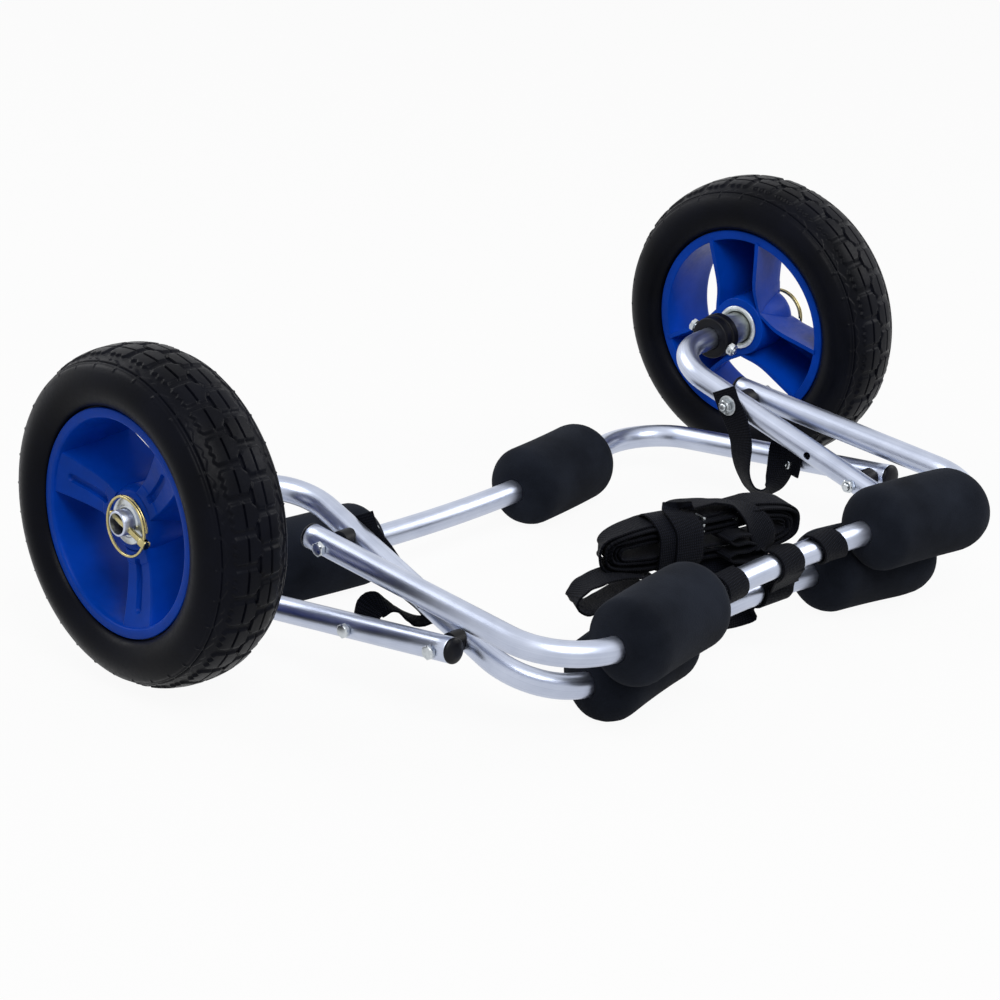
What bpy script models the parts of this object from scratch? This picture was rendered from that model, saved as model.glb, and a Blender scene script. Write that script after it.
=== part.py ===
"""A folding trolley that carries a kayak or canoe, as an assembly of separate parts.

Units are metres, +Z is up, the wheels' axle runs along X and the crossbars that meet first lie
towards -Y. The origin is on the floor, under the middle of the whole trolley. The wheel frame is
a U of bent tube whose two leg ends turn outwards and are the axle ends. An upper and a rear U are
bolted to its legs and swing on those bolts.
"""

import math

import bmesh
import bpy
import numpy as np
from mathutils import Matrix, Vector

# Tube, shared by all three frames
TUBE_RADIUS = 0.00965
TUBE_BORE = 0.0080
TUBE_SIDES = 10
BAR_STEPS = 4
CORNER_STEPS = 6
GAP = 0.0003

# Where the floor and the middle of the trolley are, seen from the middle of the axle line
AXLE_HEIGHT = 0.127
ORIGIN_Y = -0.1132
FLOOR_DROP = 0.0001

# Wheels and the stubs that carry them
WHEEL_SPACING = 0.713
AXLE_END = 0.030
AXLE_BEND_RADIUS = 0.043
TYRE_RADIUS = 0.127
TYRE_HALF_WIDTH = 0.0384
RIM_RADIUS = 0.0855
RIM_HALF_WIDTH = 0.0305
RIM_BORE_RADIUS = 0.0775
HUB_RADIUS = 0.0256
HUB_BORE = 0.0160
HUB_INNER = -0.0330
HUB_OUTER = 0.0177
SPOKE_CREASE = 0.0450
WHEEL_SEGMENTS = 44
RIGHT_SPOKES = -14.5
LEFT_SPOKES = -25.7

# The three frames: half width at the corner, crossbar bow and its radius, corner radius, lean in
FRAMES = {
    "wheel": {"half": 0.2409, "sag": 0.0382, "bow": 0.833, "corner": 0.0555, "lean": 3.79},
    "upper": {"half": 0.2580, "sag": 0.0362, "bow": 1.010, "corner": 0.0556, "lean": 1.04},
    "rear": {"half": 0.2673, "sag": 0.0525, "bow": 0.748, "corner": 0.0449, "lean": 0.99},
}
WHEEL_TILT = 19.0
UPPER_TILT = 5.67
REAR_TILT = 174.0
UPPER_CORNER = (-0.3371, 0.0734)
REAR_CORNER = (0.0703, 0.0285)
UPPER_LEG = 0.2761
REAR_LEG = 0.2871

# Bolt lines, as distances along the wheel frame's legs and along the rear frame's legs
UPPER_PIVOT = 0.2307
REAR_PIVOT = 0.1020
STRAP_ANCHOR = 0.1900
SPARE_HOLE = 0.1480
BOLT_RADIUS = 0.0030
BOLT_HOLE = 0.0036
HEAD_RADIUS = 0.0058
HEAD_HEIGHT = 0.0042
NUT_HEIGHT = 0.0050
WASHER_RADIUS = 0.0085
WASHER_THICKNESS = 0.0014
BOLT_TIP = 0.0015
SPACER_RADIUS = 0.0082

# Foam pads: places of their middles along each crossbar, left then right
PAD_RADIUS = 0.0334
PAD_LENGTH = 0.1190
PAD_ROUND = 0.0212
PAD_SIDES = 14
PAD_PLACES = {"wheel": (-0.1335, 0.1446), "upper": (-0.1494, 0.1578), "rear": (-0.1589, 0.1177)}

# Collar, sleeve, bushings, lock pin and its ring, as distances out from the wheel's middle plane
COLLAR_IN = -0.0760
COLLAR_OUT = -0.0580
COLLAR_RADIUS = 0.0188
COLLAR_BOLT = -0.0710
SLEEVE_RADIUS = 0.0134
SLEEVE_END = -0.0180
BUSH_INNER_RADIUS = 0.0192
BUSH_OUTER_RADIUS = 0.0178
PIN_PLACE = 0.0250
PIN_RADIUS = 0.0024
PIN_TIP = 0.0140
PIN_EYE = 0.0270
RING_RADIUS = 0.0222
RING_WIRE = 0.00115

# Webbing
WEB_WIDTH = 0.0250
WEB_THICKNESS = 0.0018
STRAP_ROOM = 0.0006
HANK_LOOPS = 4
HANK_STEP = 0.0027
HANK_HALF_LENGTH = 0.0990
HANK_HALF_HEIGHT = 0.0240
HANK_WAIST = 0.0040
HANK_CENTRE = (-0.0430, -0.2575, 0.1025)
HANK_YAW = -11.0


def clear_scene():
    """Removes whatever the scene starts with."""
    for old in list(bpy.data.objects):
        bpy.data.objects.remove(old, do_unlink=True)


def material(name, colour, roughness, metallic=0.0):
    """A Principled material of one colour, given as an sRGB hex number."""
    parts = [(colour >> shift & 255) / 255 for shift in (16, 8, 0)]
    linear = [p / 12.92 if p <= 0.04045 else ((p + 0.055) / 1.055) ** 2.4 for p in parts]
    made = bpy.data.materials.new(name)
    made.use_nodes = True
    shader = made.node_tree.nodes["Principled BSDF"]
    shader.inputs["Base Color"].default_value = (*linear, 1.0)
    shader.inputs["Roughness"].default_value = roughness
    shader.inputs["Metallic"].default_value = metallic
    made.diffuse_color = (*linear, 1.0)
    return made


def empty(name, matrix, parent=None):
    """An empty that carries what turns or slides together."""
    made = bpy.data.objects.new(name, None)
    bpy.context.scene.collection.objects.link(made)
    made.empty_display_size = 0.03
    made.parent = parent
    made.matrix_basis = matrix
    return made


def add_object(name, bm, parent, surface, matrix=None):
    """Makes a named object of a bmesh, with its faces out and its round faces smooth."""
    bmesh.ops.remove_doubles(bm, verts=bm.verts, dist=1e-6)
    bmesh.ops.recalc_face_normals(bm, faces=bm.faces)
    mesh = bpy.data.meshes.new(name)
    bm.to_mesh(mesh)
    bm.free()
    mesh.shade_smooth()
    mesh.set_sharp_from_angle(angle=math.radians(38))
    mesh.materials.append(surface)
    made = bpy.data.objects.new(name, mesh)
    bpy.context.scene.collection.objects.link(made)
    made.parent = parent
    if matrix is not None:
        made.matrix_basis = matrix
    return made


def loft(bm, rings, close_ends=True, close_round=False):
    """Joins rings of equally many points into one skin."""
    rows = [[bm.verts.new(point) for point in ring] for ring in rings]
    if close_round:
        pairs = list(zip(rows, rows[1:] + rows[:1]))
    else:
        pairs = list(zip(rows, rows[1:]))
    for low, high in pairs:
        for i in range(len(low)):
            j = (i + 1) % len(low)
            bm.faces.new((low[i], low[j], high[j], high[i]))
    if close_ends and not close_round:
        bm.faces.new(rows[0])
        bm.faces.new(rows[-1])
    return rows


def turned(profile, sides, start=0.0):
    """Rings of a closed profile of (along, radius) points turned about the local X axis."""
    rings = []
    for along, radius in profile:
        ring = []
        for i in range(sides):
            angle = start + 2 * math.pi * i / sides
            ring.append((along, radius * math.cos(angle), radius * math.sin(angle)))
        rings.append(ring)
    return rings


def turned_ring(profile, sides, start=0.0):
    """A body with a bore: its closed profile goes right round."""
    bm = bmesh.new()
    loft(bm, turned(profile, sides, start), close_round=True)
    return bm


def turned_solid(profile, sides, start=0.0):
    """A body without a bore, whose two ends are flat."""
    bm = bmesh.new()
    loft(bm, turned(profile, sides, start))
    return bm


def arc(centre, radius, first, last, steps):
    """Points of an arc between two angles in degrees."""
    points = []
    for i in range(steps + 1):
        angle = math.radians(first + (last - first) * i / steps)
        points.append((centre[0] + radius * math.cos(angle), centre[1] + radius * math.sin(angle)))
    return points


class Frame:
    """One U of tube: points of its plane, given as (across, along the legs), placed in the trolley."""

    def __init__(self, kind, corner, tilt):
        self.size = FRAMES[kind]
        self.corner = Vector((0.0, *corner))
        self.along = Vector((0.0, math.cos(math.radians(tilt)), math.sin(math.radians(tilt))))
        self.normal = Vector((0.0, -self.along.z, self.along.y))
        self.lean = math.radians(self.size["lean"])

    def place(self, across, along, off=0.0):
        """A point of the plane, in the trolley's frame."""
        return self.corner + Vector((across, 0, 0)) + along * self.along + off * self.normal

    def bar(self, across):
        """The crossbar's middle line and its direction at a distance across."""
        bow = self.size["bow"]
        drop = bow - math.sqrt(bow * bow - across * across)
        slope = Vector((math.sqrt(bow * bow - across * across), 0, 0)) - across * self.along
        return self.place(across, self.size["sag"] - drop), slope.normalized()

    def travelled(self, across):
        """How far along the crossbar's middle line a place lies."""
        return self.size["bow"] * math.asin(across / self.size["bow"])

    def follow(self, far):
        """The tube's middle line and its direction at a distance from the middle, round the corner too."""
        half = [self.place(*point) for point in self.half_path(CORNER_STEPS)]
        steps = [after - before for before, after in zip(half, half[1:])]
        left, i = abs(far), 0
        while left > steps[i].length - 1e-7:
            left -= steps[i].length
            i += 1
        tangent = steps[i].normalized()
        if abs(left) < 1e-6:
            before = steps[i - 1].normalized() if i else Vector((1, 0, 0))
            tangent = (before + tangent).normalized()
        point = half[i] + left * steps[i].normalized()
        if far < 0:
            point.x, tangent = -point.x, Vector((tangent.x, -tangent.y, -tangent.z))
        return point, tangent

    def bends(self, low, high):
        """The distances between low and high at which the tube's middle line bends."""
        half = [self.place(*point) for point in self.half_path(CORNER_STEPS)]
        found, far = [0.0], 0.0
        for before, after in zip(half, half[1:]):
            far += (after - before).length
            found += [-far, far]
        return sorted(far for far in found if low + GAP < far < high - GAP)

    def leg(self, along, side):
        """A point of the leg's middle line, side -1 left and 1 right."""
        return self.place(side * (self.size["half"] - along * math.tan(self.lean)), along)

    def leg_direction(self, side):
        """The direction of a leg, from the crossbar to its free end."""
        return Vector((-side * math.sin(self.lean), 0, 0)) + math.cos(self.lean) * self.along

    def outward(self, side):
        """The direction square to a leg, in the frame's plane, away from the trolley's middle."""
        return Vector((side * math.cos(self.lean), 0, 0)) + math.sin(self.lean) * self.along

    def half_path(self, steps):
        """Points from the middle of the crossbar round the right corner to where its leg runs straight."""
        half, sag, bow, radius = (self.size[key] for key in ("half", "sag", "bow", "corner"))
        high = radius
        for _ in range(30):
            across = half - (radius + high * math.sin(self.lean)) / math.cos(self.lean)
            high = sag - bow + math.sqrt((bow + radius) ** 2 - across**2)
        touch = math.atan2(across, high - sag + bow)
        points = []
        for i in range(BAR_STEPS):
            angle = touch * i / BAR_STEPS
            points.append((bow * math.sin(angle), sag - bow + bow * math.cos(angle)))
        first = -90 - math.degrees(touch)
        points += arc((across, high), radius, first, math.degrees(self.lean), steps)
        return points

    def path(self, ends):
        """The whole middle line, left end to right end, with the same end points on both sides."""
        right = self.half_path(CORNER_STEPS) + ends
        left = [(-across, along) for across, along in right[:0:-1]]
        return [self.place(across, along) for across, along in left + right]


def axle_ends(frame, hub_along):
    """The wheel frame's leg ends, bent outwards to run through the wheels."""
    lean = frame.lean
    half = frame.size["half"]
    stub = (WHEEL_SPACING / 2 + AXLE_END * math.cos(lean), hub_along + AXLE_END * math.sin(lean))
    meet = (hub_along - WHEEL_SPACING / 2 * math.tan(lean) + half * math.tan(lean)) * math.cos(lean) ** 2
    elbow = (half - meet * math.tan(lean), meet)
    leg = (-math.sin(lean), math.cos(lean))
    out = (math.cos(lean), math.sin(lean))
    radius = AXLE_BEND_RADIUS
    centre = tuple(elbow[i] - radius * leg[i] + radius * out[i] for i in (0, 1))
    start = 180 + math.degrees(lean)
    bend = arc(centre, radius, start, start - 90, 5)
    return [*bend, stub]


def tube_rings(path, normal, radius):
    """Rings square to a flat path."""
    rings = []
    for i, point in enumerate(path):
        before = (point - path[i - 1]).normalized() if i else Vector((0, 0, 0))
        after = (path[i + 1] - point).normalized() if i < len(path) - 1 else Vector((0, 0, 0))
        tangent = (before + after).normalized()
        side = tangent.cross(normal).normalized()
        ring = []
        for k in range(TUBE_SIDES):
            angle = 2 * math.pi * (k + 0.5) / TUBE_SIDES
            ring.append(point + radius * (math.cos(angle) * side + math.sin(angle) * normal))
        rings.append(ring)
    return rings


def tube(name, frame, path, parent, surface, holes):
    """A hollow tube along a path, with its bolt holes bored."""
    bm = bmesh.new()
    outer = tube_rings(path, frame.normal, TUBE_RADIUS)
    inner = tube_rings(path, frame.normal, TUBE_BORE)
    loft(bm, outer + inner[::-1], close_round=True)
    made = add_object(name, bm, parent, surface)
    cutter = bmesh.new()
    for centre, direction, half_length in holes:
        add_rod(cutter, centre, direction, -half_length, half_length, BOLT_HOLE, 8)
    bore(made, cutter, parent)
    return made


def bore(body, cutter, parent):
    """Cuts a helper shape from a body."""
    bmesh.ops.recalc_face_normals(cutter, faces=cutter.faces)
    mesh = bpy.data.meshes.new(body.name + "_holes")
    cutter.to_mesh(mesh)
    cutter.free()
    helper = bpy.data.objects.new(body.name + "_holes", mesh)
    bpy.context.scene.collection.objects.link(helper)
    helper.parent = parent
    helper.matrix_basis = body.matrix_basis.copy()
    helper.hide_render = True
    helper.display_type = "WIRE"
    cut = body.modifiers.new("holes", "BOOLEAN")
    cut.operation = "DIFFERENCE"
    cut.solver = "EXACT"
    cut.object = helper


def turned_to(direction):
    """A rotation that carries the local X axis to a direction."""
    return Vector((1, 0, 0)).rotation_difference(direction).to_matrix()


def add_rod(bm, centre, direction, low, high, radius, sides, tip=None):
    """Adds a round or six-sided rod along a direction; tip is the radius at its far end."""
    turn = turned_to(direction)
    rings = []
    for along, size in ((low, radius), (high, radius if tip is None else tip)):
        ring = turned([(along, size)], sides, math.pi / sides)[0]
        rings.append([centre + turn @ Vector(point) for point in ring])
    loft(bm, rings)


def bolt(name, centre, direction, head_at, tip_at, parent, surface):
    """A hex head and its shank as one piece, from its head's seat to its tip."""
    bm = bmesh.new()
    profile = [
        (head_at + HEAD_HEIGHT, HEAD_RADIUS),
        (head_at, HEAD_RADIUS),
        (head_at, BOLT_RADIUS),
        (tip_at, BOLT_RADIUS),
    ]
    loft(bm, turned(profile, 12))
    for vert in bm.verts:
        flat = math.hypot(vert.co.y, vert.co.z)
        if flat > BOLT_RADIUS * 1.2:
            angle = math.atan2(vert.co.z, vert.co.y) % (math.pi / 3) - math.pi / 6
            scale = math.cos(math.pi / 6) / math.cos(angle)
            vert.co.y *= scale
            vert.co.z *= scale
    turn = turned_to(direction).to_4x4()
    return add_object(name, bm, parent, surface, Matrix.Translation(centre) @ turn)


def ring_washer(name, centre, direction, low, high, radius, sides, parent, surface):
    """A washer or a six-sided nut: a ring between two distances along a direction."""
    hole = (BOLT_RADIUS + GAP) / math.cos(math.pi / sides)
    bm = bmesh.new()
    profile = [(low, hole), (high, hole), (high, radius), (low, radius)]
    loft(bm, turned(profile, sides), close_round=True)
    turn = turned_to(direction).to_4x4()
    return add_object(name, bm, parent, surface, Matrix.Translation(centre) @ turn)


def pad(name, frame, across, parent, surface, cuts):
    """A foam roller that bends half as much as the tube inside it, pressed flat by its neighbours."""
    half = PAD_LENGTH / 2
    middle = frame.travelled(across)
    hole = (TUBE_RADIUS + GAP) / math.cos(math.pi / PAD_SIDES)
    ends = arc((0.0, PAD_RADIUS - PAD_ROUND), PAD_ROUND, 0, 90, 3)
    right = [(half + (a - PAD_ROUND) * 0.85, r) for a, r in ends]
    outer = [(-a, r) for a, r in right] + right[::-1]
    rings = []
    for along, radius in outer:
        centre, tangent = frame.follow(middle + along)
        smooth, direction = frame.bar(across + along)
        share = 0.6 + 0.4 * (PAD_RADIUS - radius) / PAD_ROUND
        direction = direction.lerp(tangent, share).normalized()
        rings.append(pad_ring(smooth.lerp(centre, share), direction, frame, radius))
    for far in [middle + half, *frame.bends(middle - half, middle + half)[::-1], middle - half]:
        centre, tangent = frame.follow(far)
        rings.append(pad_ring(centre, tangent, frame, hole))
    bm = bmesh.new()
    loft(bm, rings, close_round=True)
    for point, outwards in cuts:
        flatten(bm, point, outwards)
    place = frame.bar(across)[0]
    bmesh.ops.translate(bm, verts=bm.verts, vec=-place)
    return add_object(name, bm, parent, surface, Matrix.Translation(place - parent_place(parent)))


def pad_ring(centre, tangent, frame, radius):
    """One ring of a pad, square to its middle line."""
    side = tangent.cross(frame.normal)
    ring = []
    for k in range(PAD_SIDES):
        angle = 2 * math.pi * k / PAD_SIDES
        ring.append(centre + radius * (math.cos(angle) * side + math.sin(angle) * frame.normal))
    return ring


def flatten(bm, point, outwards):
    """Cuts off what lies beyond a plane and closes the cut."""
    everything = bm.verts[:] + bm.edges[:] + bm.faces[:]
    cut = bmesh.ops.bisect_plane(
        bm, geom=everything, plane_co=point, plane_no=outwards, clear_outer=True, dist=1e-6
    )
    edges = [item for item in cut["geom_cut"] if isinstance(item, bmesh.types.BMEdge)]
    if edges:
        bmesh.ops.holes_fill(bm, edges=edges, sides=0)


def parent_place(parent):
    """Where a parent empty stands in the trolley's frame."""
    return parent.matrix_basis.translation if parent.name != "trolley" else Vector((0, 0, 0))


def ribbon(name, route, parent, surface, width=WEB_WIDTH, steps=3):
    """Flat webbing through hand-laid points, each with the direction across the webbing."""
    places = [Vector(point) for point, _ in route]
    across = [Vector(direction).normalized() for _, direction in route]
    points, sides = [], []
    for i in range(len(places) - 1):
        p0, p1 = places[max(i - 1, 0)], places[i]
        p2, p3 = places[i + 1], places[min(i + 2, len(places) - 1)]
        last = i == len(places) - 2
        for k in range(steps + last):
            t = k / steps
            curve = 2 * p1 + (p2 - p0) * t + (2 * p0 - 5 * p1 + 4 * p2 - p3) * t * t
            points.append((curve + (3 * p1 - p0 - 3 * p2 + p3) * t**3) / 2)
            sides.append(across[i].lerp(across[i + 1], t))
    rings = []
    for i, point in enumerate(points):
        tangent = (points[min(i + 1, len(points) - 1)] - points[max(i - 1, 0)]).normalized()
        side = (sides[i] - sides[i].dot(tangent) * tangent).normalized() * width / 2
        thick = tangent.cross(side).normalized() * WEB_THICKNESS / 2
        rings.append([point + side + thick, point - side + thick, point - side - thick, point + side - thick])
    bm = bmesh.new()
    loft(bm, rings)
    origin = parent_place(parent)
    bmesh.ops.translate(bm, verts=bm.verts, vec=-origin)
    return add_object(name, bm, parent, surface)


def hank_points():
    """The hank's middle line: loops that spiral inwards, drawn in alike at the waist."""
    points = []
    per_loop = 24
    for i in range(HANK_LOOPS * per_loop + 1):
        turn = i / per_loop
        angle = 2 * math.pi * turn
        inset = HANK_STEP * turn
        cos, sin = math.cos(angle), math.sin(angle)
        along = (HANK_HALF_LENGTH - inset * 1.3) * math.copysign(abs(cos) ** 0.75, cos)
        waist = HANK_WAIST * (1 - (along / HANK_HALF_LENGTH) ** 2) ** 2
        high = (HANK_HALF_HEIGHT - inset - waist) * math.copysign(abs(sin) ** 0.62, sin)
        points.append((along, high))
    return points


def least_gap(points):
    """The least free distance between the turns of the hank's band, measured between its points."""
    flat = np.array(points)
    least = 1.0
    for i in range(len(flat)):
        for j in range(i + 12, len(flat) - 1):
            edge = flat[j + 1] - flat[j]
            t = np.clip(np.dot(flat[i] - flat[j], edge) / np.dot(edge, edge), 0, 1)
            least = min(least, float(np.linalg.norm(flat[i] - flat[j] - t * edge)))
    return least - WEB_THICKNESS


def hank(name, parent, surface):
    """The stowed tie-down strap, wound flat on edge as one unbroken band."""
    points = hank_points()
    turn = Matrix.Rotation(math.radians(HANK_YAW), 3, "Z")
    rings = []
    for i, (along, high) in enumerate(points):
        before, after = points[max(i - 1, 0)], points[min(i + 1, len(points) - 1)]
        tangent = Vector((after[0] - before[0], after[1] - before[1])).normalized()
        ring = []
        for side, edge in ((1, 1), (-1, 1), (-1, -1), (1, -1)):
            x = along - tangent.y * side * WEB_THICKNESS / 2
            z = high + tangent.x * side * WEB_THICKNESS / 2
            ring.append(turn @ Vector((x, edge * WEB_WIDTH / 2, z)))
        rings.append(ring)
    bm = bmesh.new()
    loft(bm, rings)
    print(f"least gap between the hank's loops: {least_gap(points) * 1000:.2f} mm")
    place = Vector(HANK_CENTRE) - parent_place(parent)
    return add_object(name, bm, parent, surface, Matrix.Translation(place))


def saddle(name, seat, face, parent, surface):
    """A spacer that is hollowed to sit on the wheel frame's tube and is flat towards the one that swings."""
    point, direction = seat
    hole = BOLT_RADIUS + 2 * GAP
    sides = 14
    side = 1 if point.x > 0 else -1
    rings = []
    for hollow, size in ((True, hole), (True, SPACER_RADIUS), (False, SPACER_RADIUS), (False, hole)):
        ring = []
        for k in range(sides):
            angle = 2 * math.pi * k / sides
            y, z = size * math.cos(angle), size * math.sin(angle)
            x = side * face
            if hollow:
                off = abs(y * direction.z - z * direction.y)
                lean = (y * direction.y + z * direction.z) * direction.x
                x = point.x + side * math.sqrt((TUBE_RADIUS + GAP + 0.0001) ** 2 - off * off) + lean
            ring.append(Vector((x, point.y + y, point.z + z)))
        rings.append(ring)
    bm = bmesh.new()
    loft(bm, rings, close_round=True)
    origin = parent_place(parent)
    bmesh.ops.translate(bm, verts=bm.verts, vec=-origin)
    return add_object(name, bm, parent, surface)


def plug(name, frame, along, side, parent, surface):
    """A domed cap in the end of a leg."""
    stem = (TUBE_BORE - GAP) * math.cos(math.pi / TUBE_SIDES)
    profile = [
        (-0.0070, stem),
        (GAP, stem),
        (GAP, TUBE_RADIUS),
        (0.0018, TUBE_RADIUS),
        (0.0036, TUBE_RADIUS * 0.86),
        (0.0045, TUBE_RADIUS * 0.5),
    ]
    turn = turned_to(frame.leg_direction(side)).to_4x4()
    place = frame.leg(along, side) - parent_place(parent)
    return add_object(name, turned_solid(profile, 10), parent, surface, Matrix.Translation(place) @ turn)


def tyre_profile():
    """Half the tyre's section is worked out, then mirrored: flat crown, round shoulder, full sidewall."""
    seat = RIM_RADIUS - 0.0035
    half = [
        (RIM_HALF_WIDTH - 0.0035, seat),
        (RIM_HALF_WIDTH - 0.0035, RIM_RADIUS + 0.0004),
        (RIM_HALF_WIDTH - 0.0003, RIM_RADIUS + 0.0010),
        (0.0365, 0.0960),
        (TYRE_HALF_WIDTH, 0.1068),
        (0.0350, 0.1165),
        (0.0280, 0.1214),
    ]
    return half + [(0.0, TYRE_RADIUS)] + [(-along, radius) for along, radius in half[::-1]]


def rim(name, parent, surface, matrix):
    """Barrel with two bead flanges, hub, and three hollow spokes that are open on the inner side."""
    lip = RIM_RADIUS
    seat = RIM_RADIUS - 0.0038
    edge = RIM_HALF_WIDTH
    barrel = [
        (-edge, RIM_BORE_RADIUS),
        (-edge, lip),
        (-edge + 0.0030, lip),
        (-edge + 0.0030, seat),
        (edge - 0.0030, seat),
        (edge - 0.0030, lip),
        (edge, lip),
        (edge, RIM_BORE_RADIUS),
    ]
    hub = [
        (HUB_INNER, HUB_BORE),
        (HUB_INNER, HUB_RADIUS),
        (HUB_OUTER, HUB_RADIUS),
        (HUB_OUTER, HUB_BORE),
    ]
    made = add_object(name, turned_ring(barrel, WHEEL_SEGMENTS), parent, surface, matrix)
    pieces = [turned_ring(hub, 18)]
    for k in range(3):
        pieces.append(spoke(120 * k))
    for number, piece in enumerate(pieces):
        bmesh.ops.recalc_face_normals(piece, faces=piece.faces)
        mesh = bpy.data.meshes.new(f"{name}_piece_{number}")
        piece.to_mesh(mesh)
        piece.free()
        helper = bpy.data.objects.new(mesh.name, mesh)
        bpy.context.scene.collection.objects.link(helper)
        helper.parent = parent
        helper.matrix_basis = matrix
        helper.hide_render = True
        helper.display_type = "WIRE"
        join = made.modifiers.new("join", "BOOLEAN")
        join.operation = "UNION"
        join.solver = "EXACT"
        join.object = helper
    return made


def spoke(turn_degrees):
    """One trough-shaped spoke between hub and barrel, its closed face outermost and creased."""
    wall = 0.0034
    near, far = HUB_RADIUS - 0.0018, RIM_BORE_RADIUS + 0.0020
    stations = {
        near: {"open": 0.0150, "shut": 0.0120, "inner": HUB_INNER + 0.001, "outer": 0.0165},
        SPOKE_CREASE: {"open": 0.0184, "shut": 0.0140, "inner": HUB_INNER + 0.0023, "outer": 0.0170},
        far: {"open": 0.0240, "shut": 0.0172, "inner": -RIM_HALF_WIDTH + 0.002, "outer": 0.0285},
    }
    turn = Matrix.Rotation(math.radians(turn_degrees), 3, "X")
    rings = []
    for radius, size in stations.items():
        inner, outer = size["inner"], size["outer"]
        wide, narrow = size["open"], size["shut"]
        outline = [
            (inner, wide),
            (outer, narrow),
            (outer, -narrow),
            (inner, -wide),
            (inner, -wide + wall),
            (outer - wall, -narrow + wall),
            (outer - wall, narrow - wall),
            (inner, wide - wall),
        ]
        rings.append([turn @ Vector((x, y, math.sqrt(radius**2 - y * y))) for x, y in outline])
    bm = bmesh.new()
    loft(bm, rings)
    return bm


def collar(name, parent, surface):
    """The stepped plastic stop that keeps the wheel off the frame's bend."""
    hole = TUBE_RADIUS + GAP + 0.0002
    step = -0.0668
    profile = [
        (COLLAR_IN, hole),
        (COLLAR_IN, COLLAR_RADIUS - 0.0012),
        (step, COLLAR_RADIUS - 0.0008),
        (step + 0.0010, COLLAR_RADIUS),
        (COLLAR_OUT, COLLAR_RADIUS),
        (COLLAR_OUT, hole),
    ]
    made = add_object(name, turned_ring(profile, 18), parent, surface)
    cutter = bmesh.new()
    add_rod(cutter, Vector((COLLAR_BOLT, 0, 0)), Vector((0, 1, 0)), -0.025, 0.025, BOLT_HOLE, 8)
    bore(made, cutter, parent)
    return made


def lock_pin(name, eye, parent, surface):
    """The pin through the axle end, with an eye for its ring; eye is 1 or -1 along local Y."""
    flat = 0.0016
    bm = bmesh.new()
    profile = [
        (-PIN_TIP, PIN_RADIUS * 0.7),
        (-PIN_TIP + 0.0015, PIN_RADIUS),
        (PIN_EYE - 0.0045, PIN_RADIUS),
        (PIN_EYE - 0.0035, PIN_RADIUS + 0.0016),
        (PIN_EYE + 0.0035, PIN_RADIUS + 0.0016),
    ]
    loft(bm, turned(profile, 12))
    turn = turned_to(Vector((0, eye, 0))).to_4x4()
    made = add_object(name, bm, parent, surface, turn)
    cutter = bmesh.new()
    cross = Vector((0, 0, 1))
    add_rod(cutter, Vector((PIN_EYE, 0, 0)), cross, -0.01, 0.01, RING_WIRE + 2 * flat * 0.25, 12)
    bore(made, cutter, parent)
    return made


def lock_ring(name, eye, parent, surface):
    """A sprung ring of wire through the pin's eye and round the axle end; its origin is in the eye."""
    sides, steps = 6, 20
    bm = bmesh.new()
    rings = []
    for i in range(steps):
        angle = 2 * math.pi * i / steps
        centre = Vector((0, -eye * RING_RADIUS * (1 - math.cos(angle)), RING_RADIUS * math.sin(angle)))
        out = Vector((0, eye * math.cos(angle), math.sin(angle)))
        ring = []
        for k in range(sides):
            turn = 2 * math.pi * k / sides
            ring.append(centre + RING_WIRE * (math.cos(turn) * out + math.sin(turn) * Vector((1, 0, 0))))
        rings.append(ring)
    loft(bm, rings, close_round=True)
    return add_object(name, bm, parent, surface)


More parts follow.
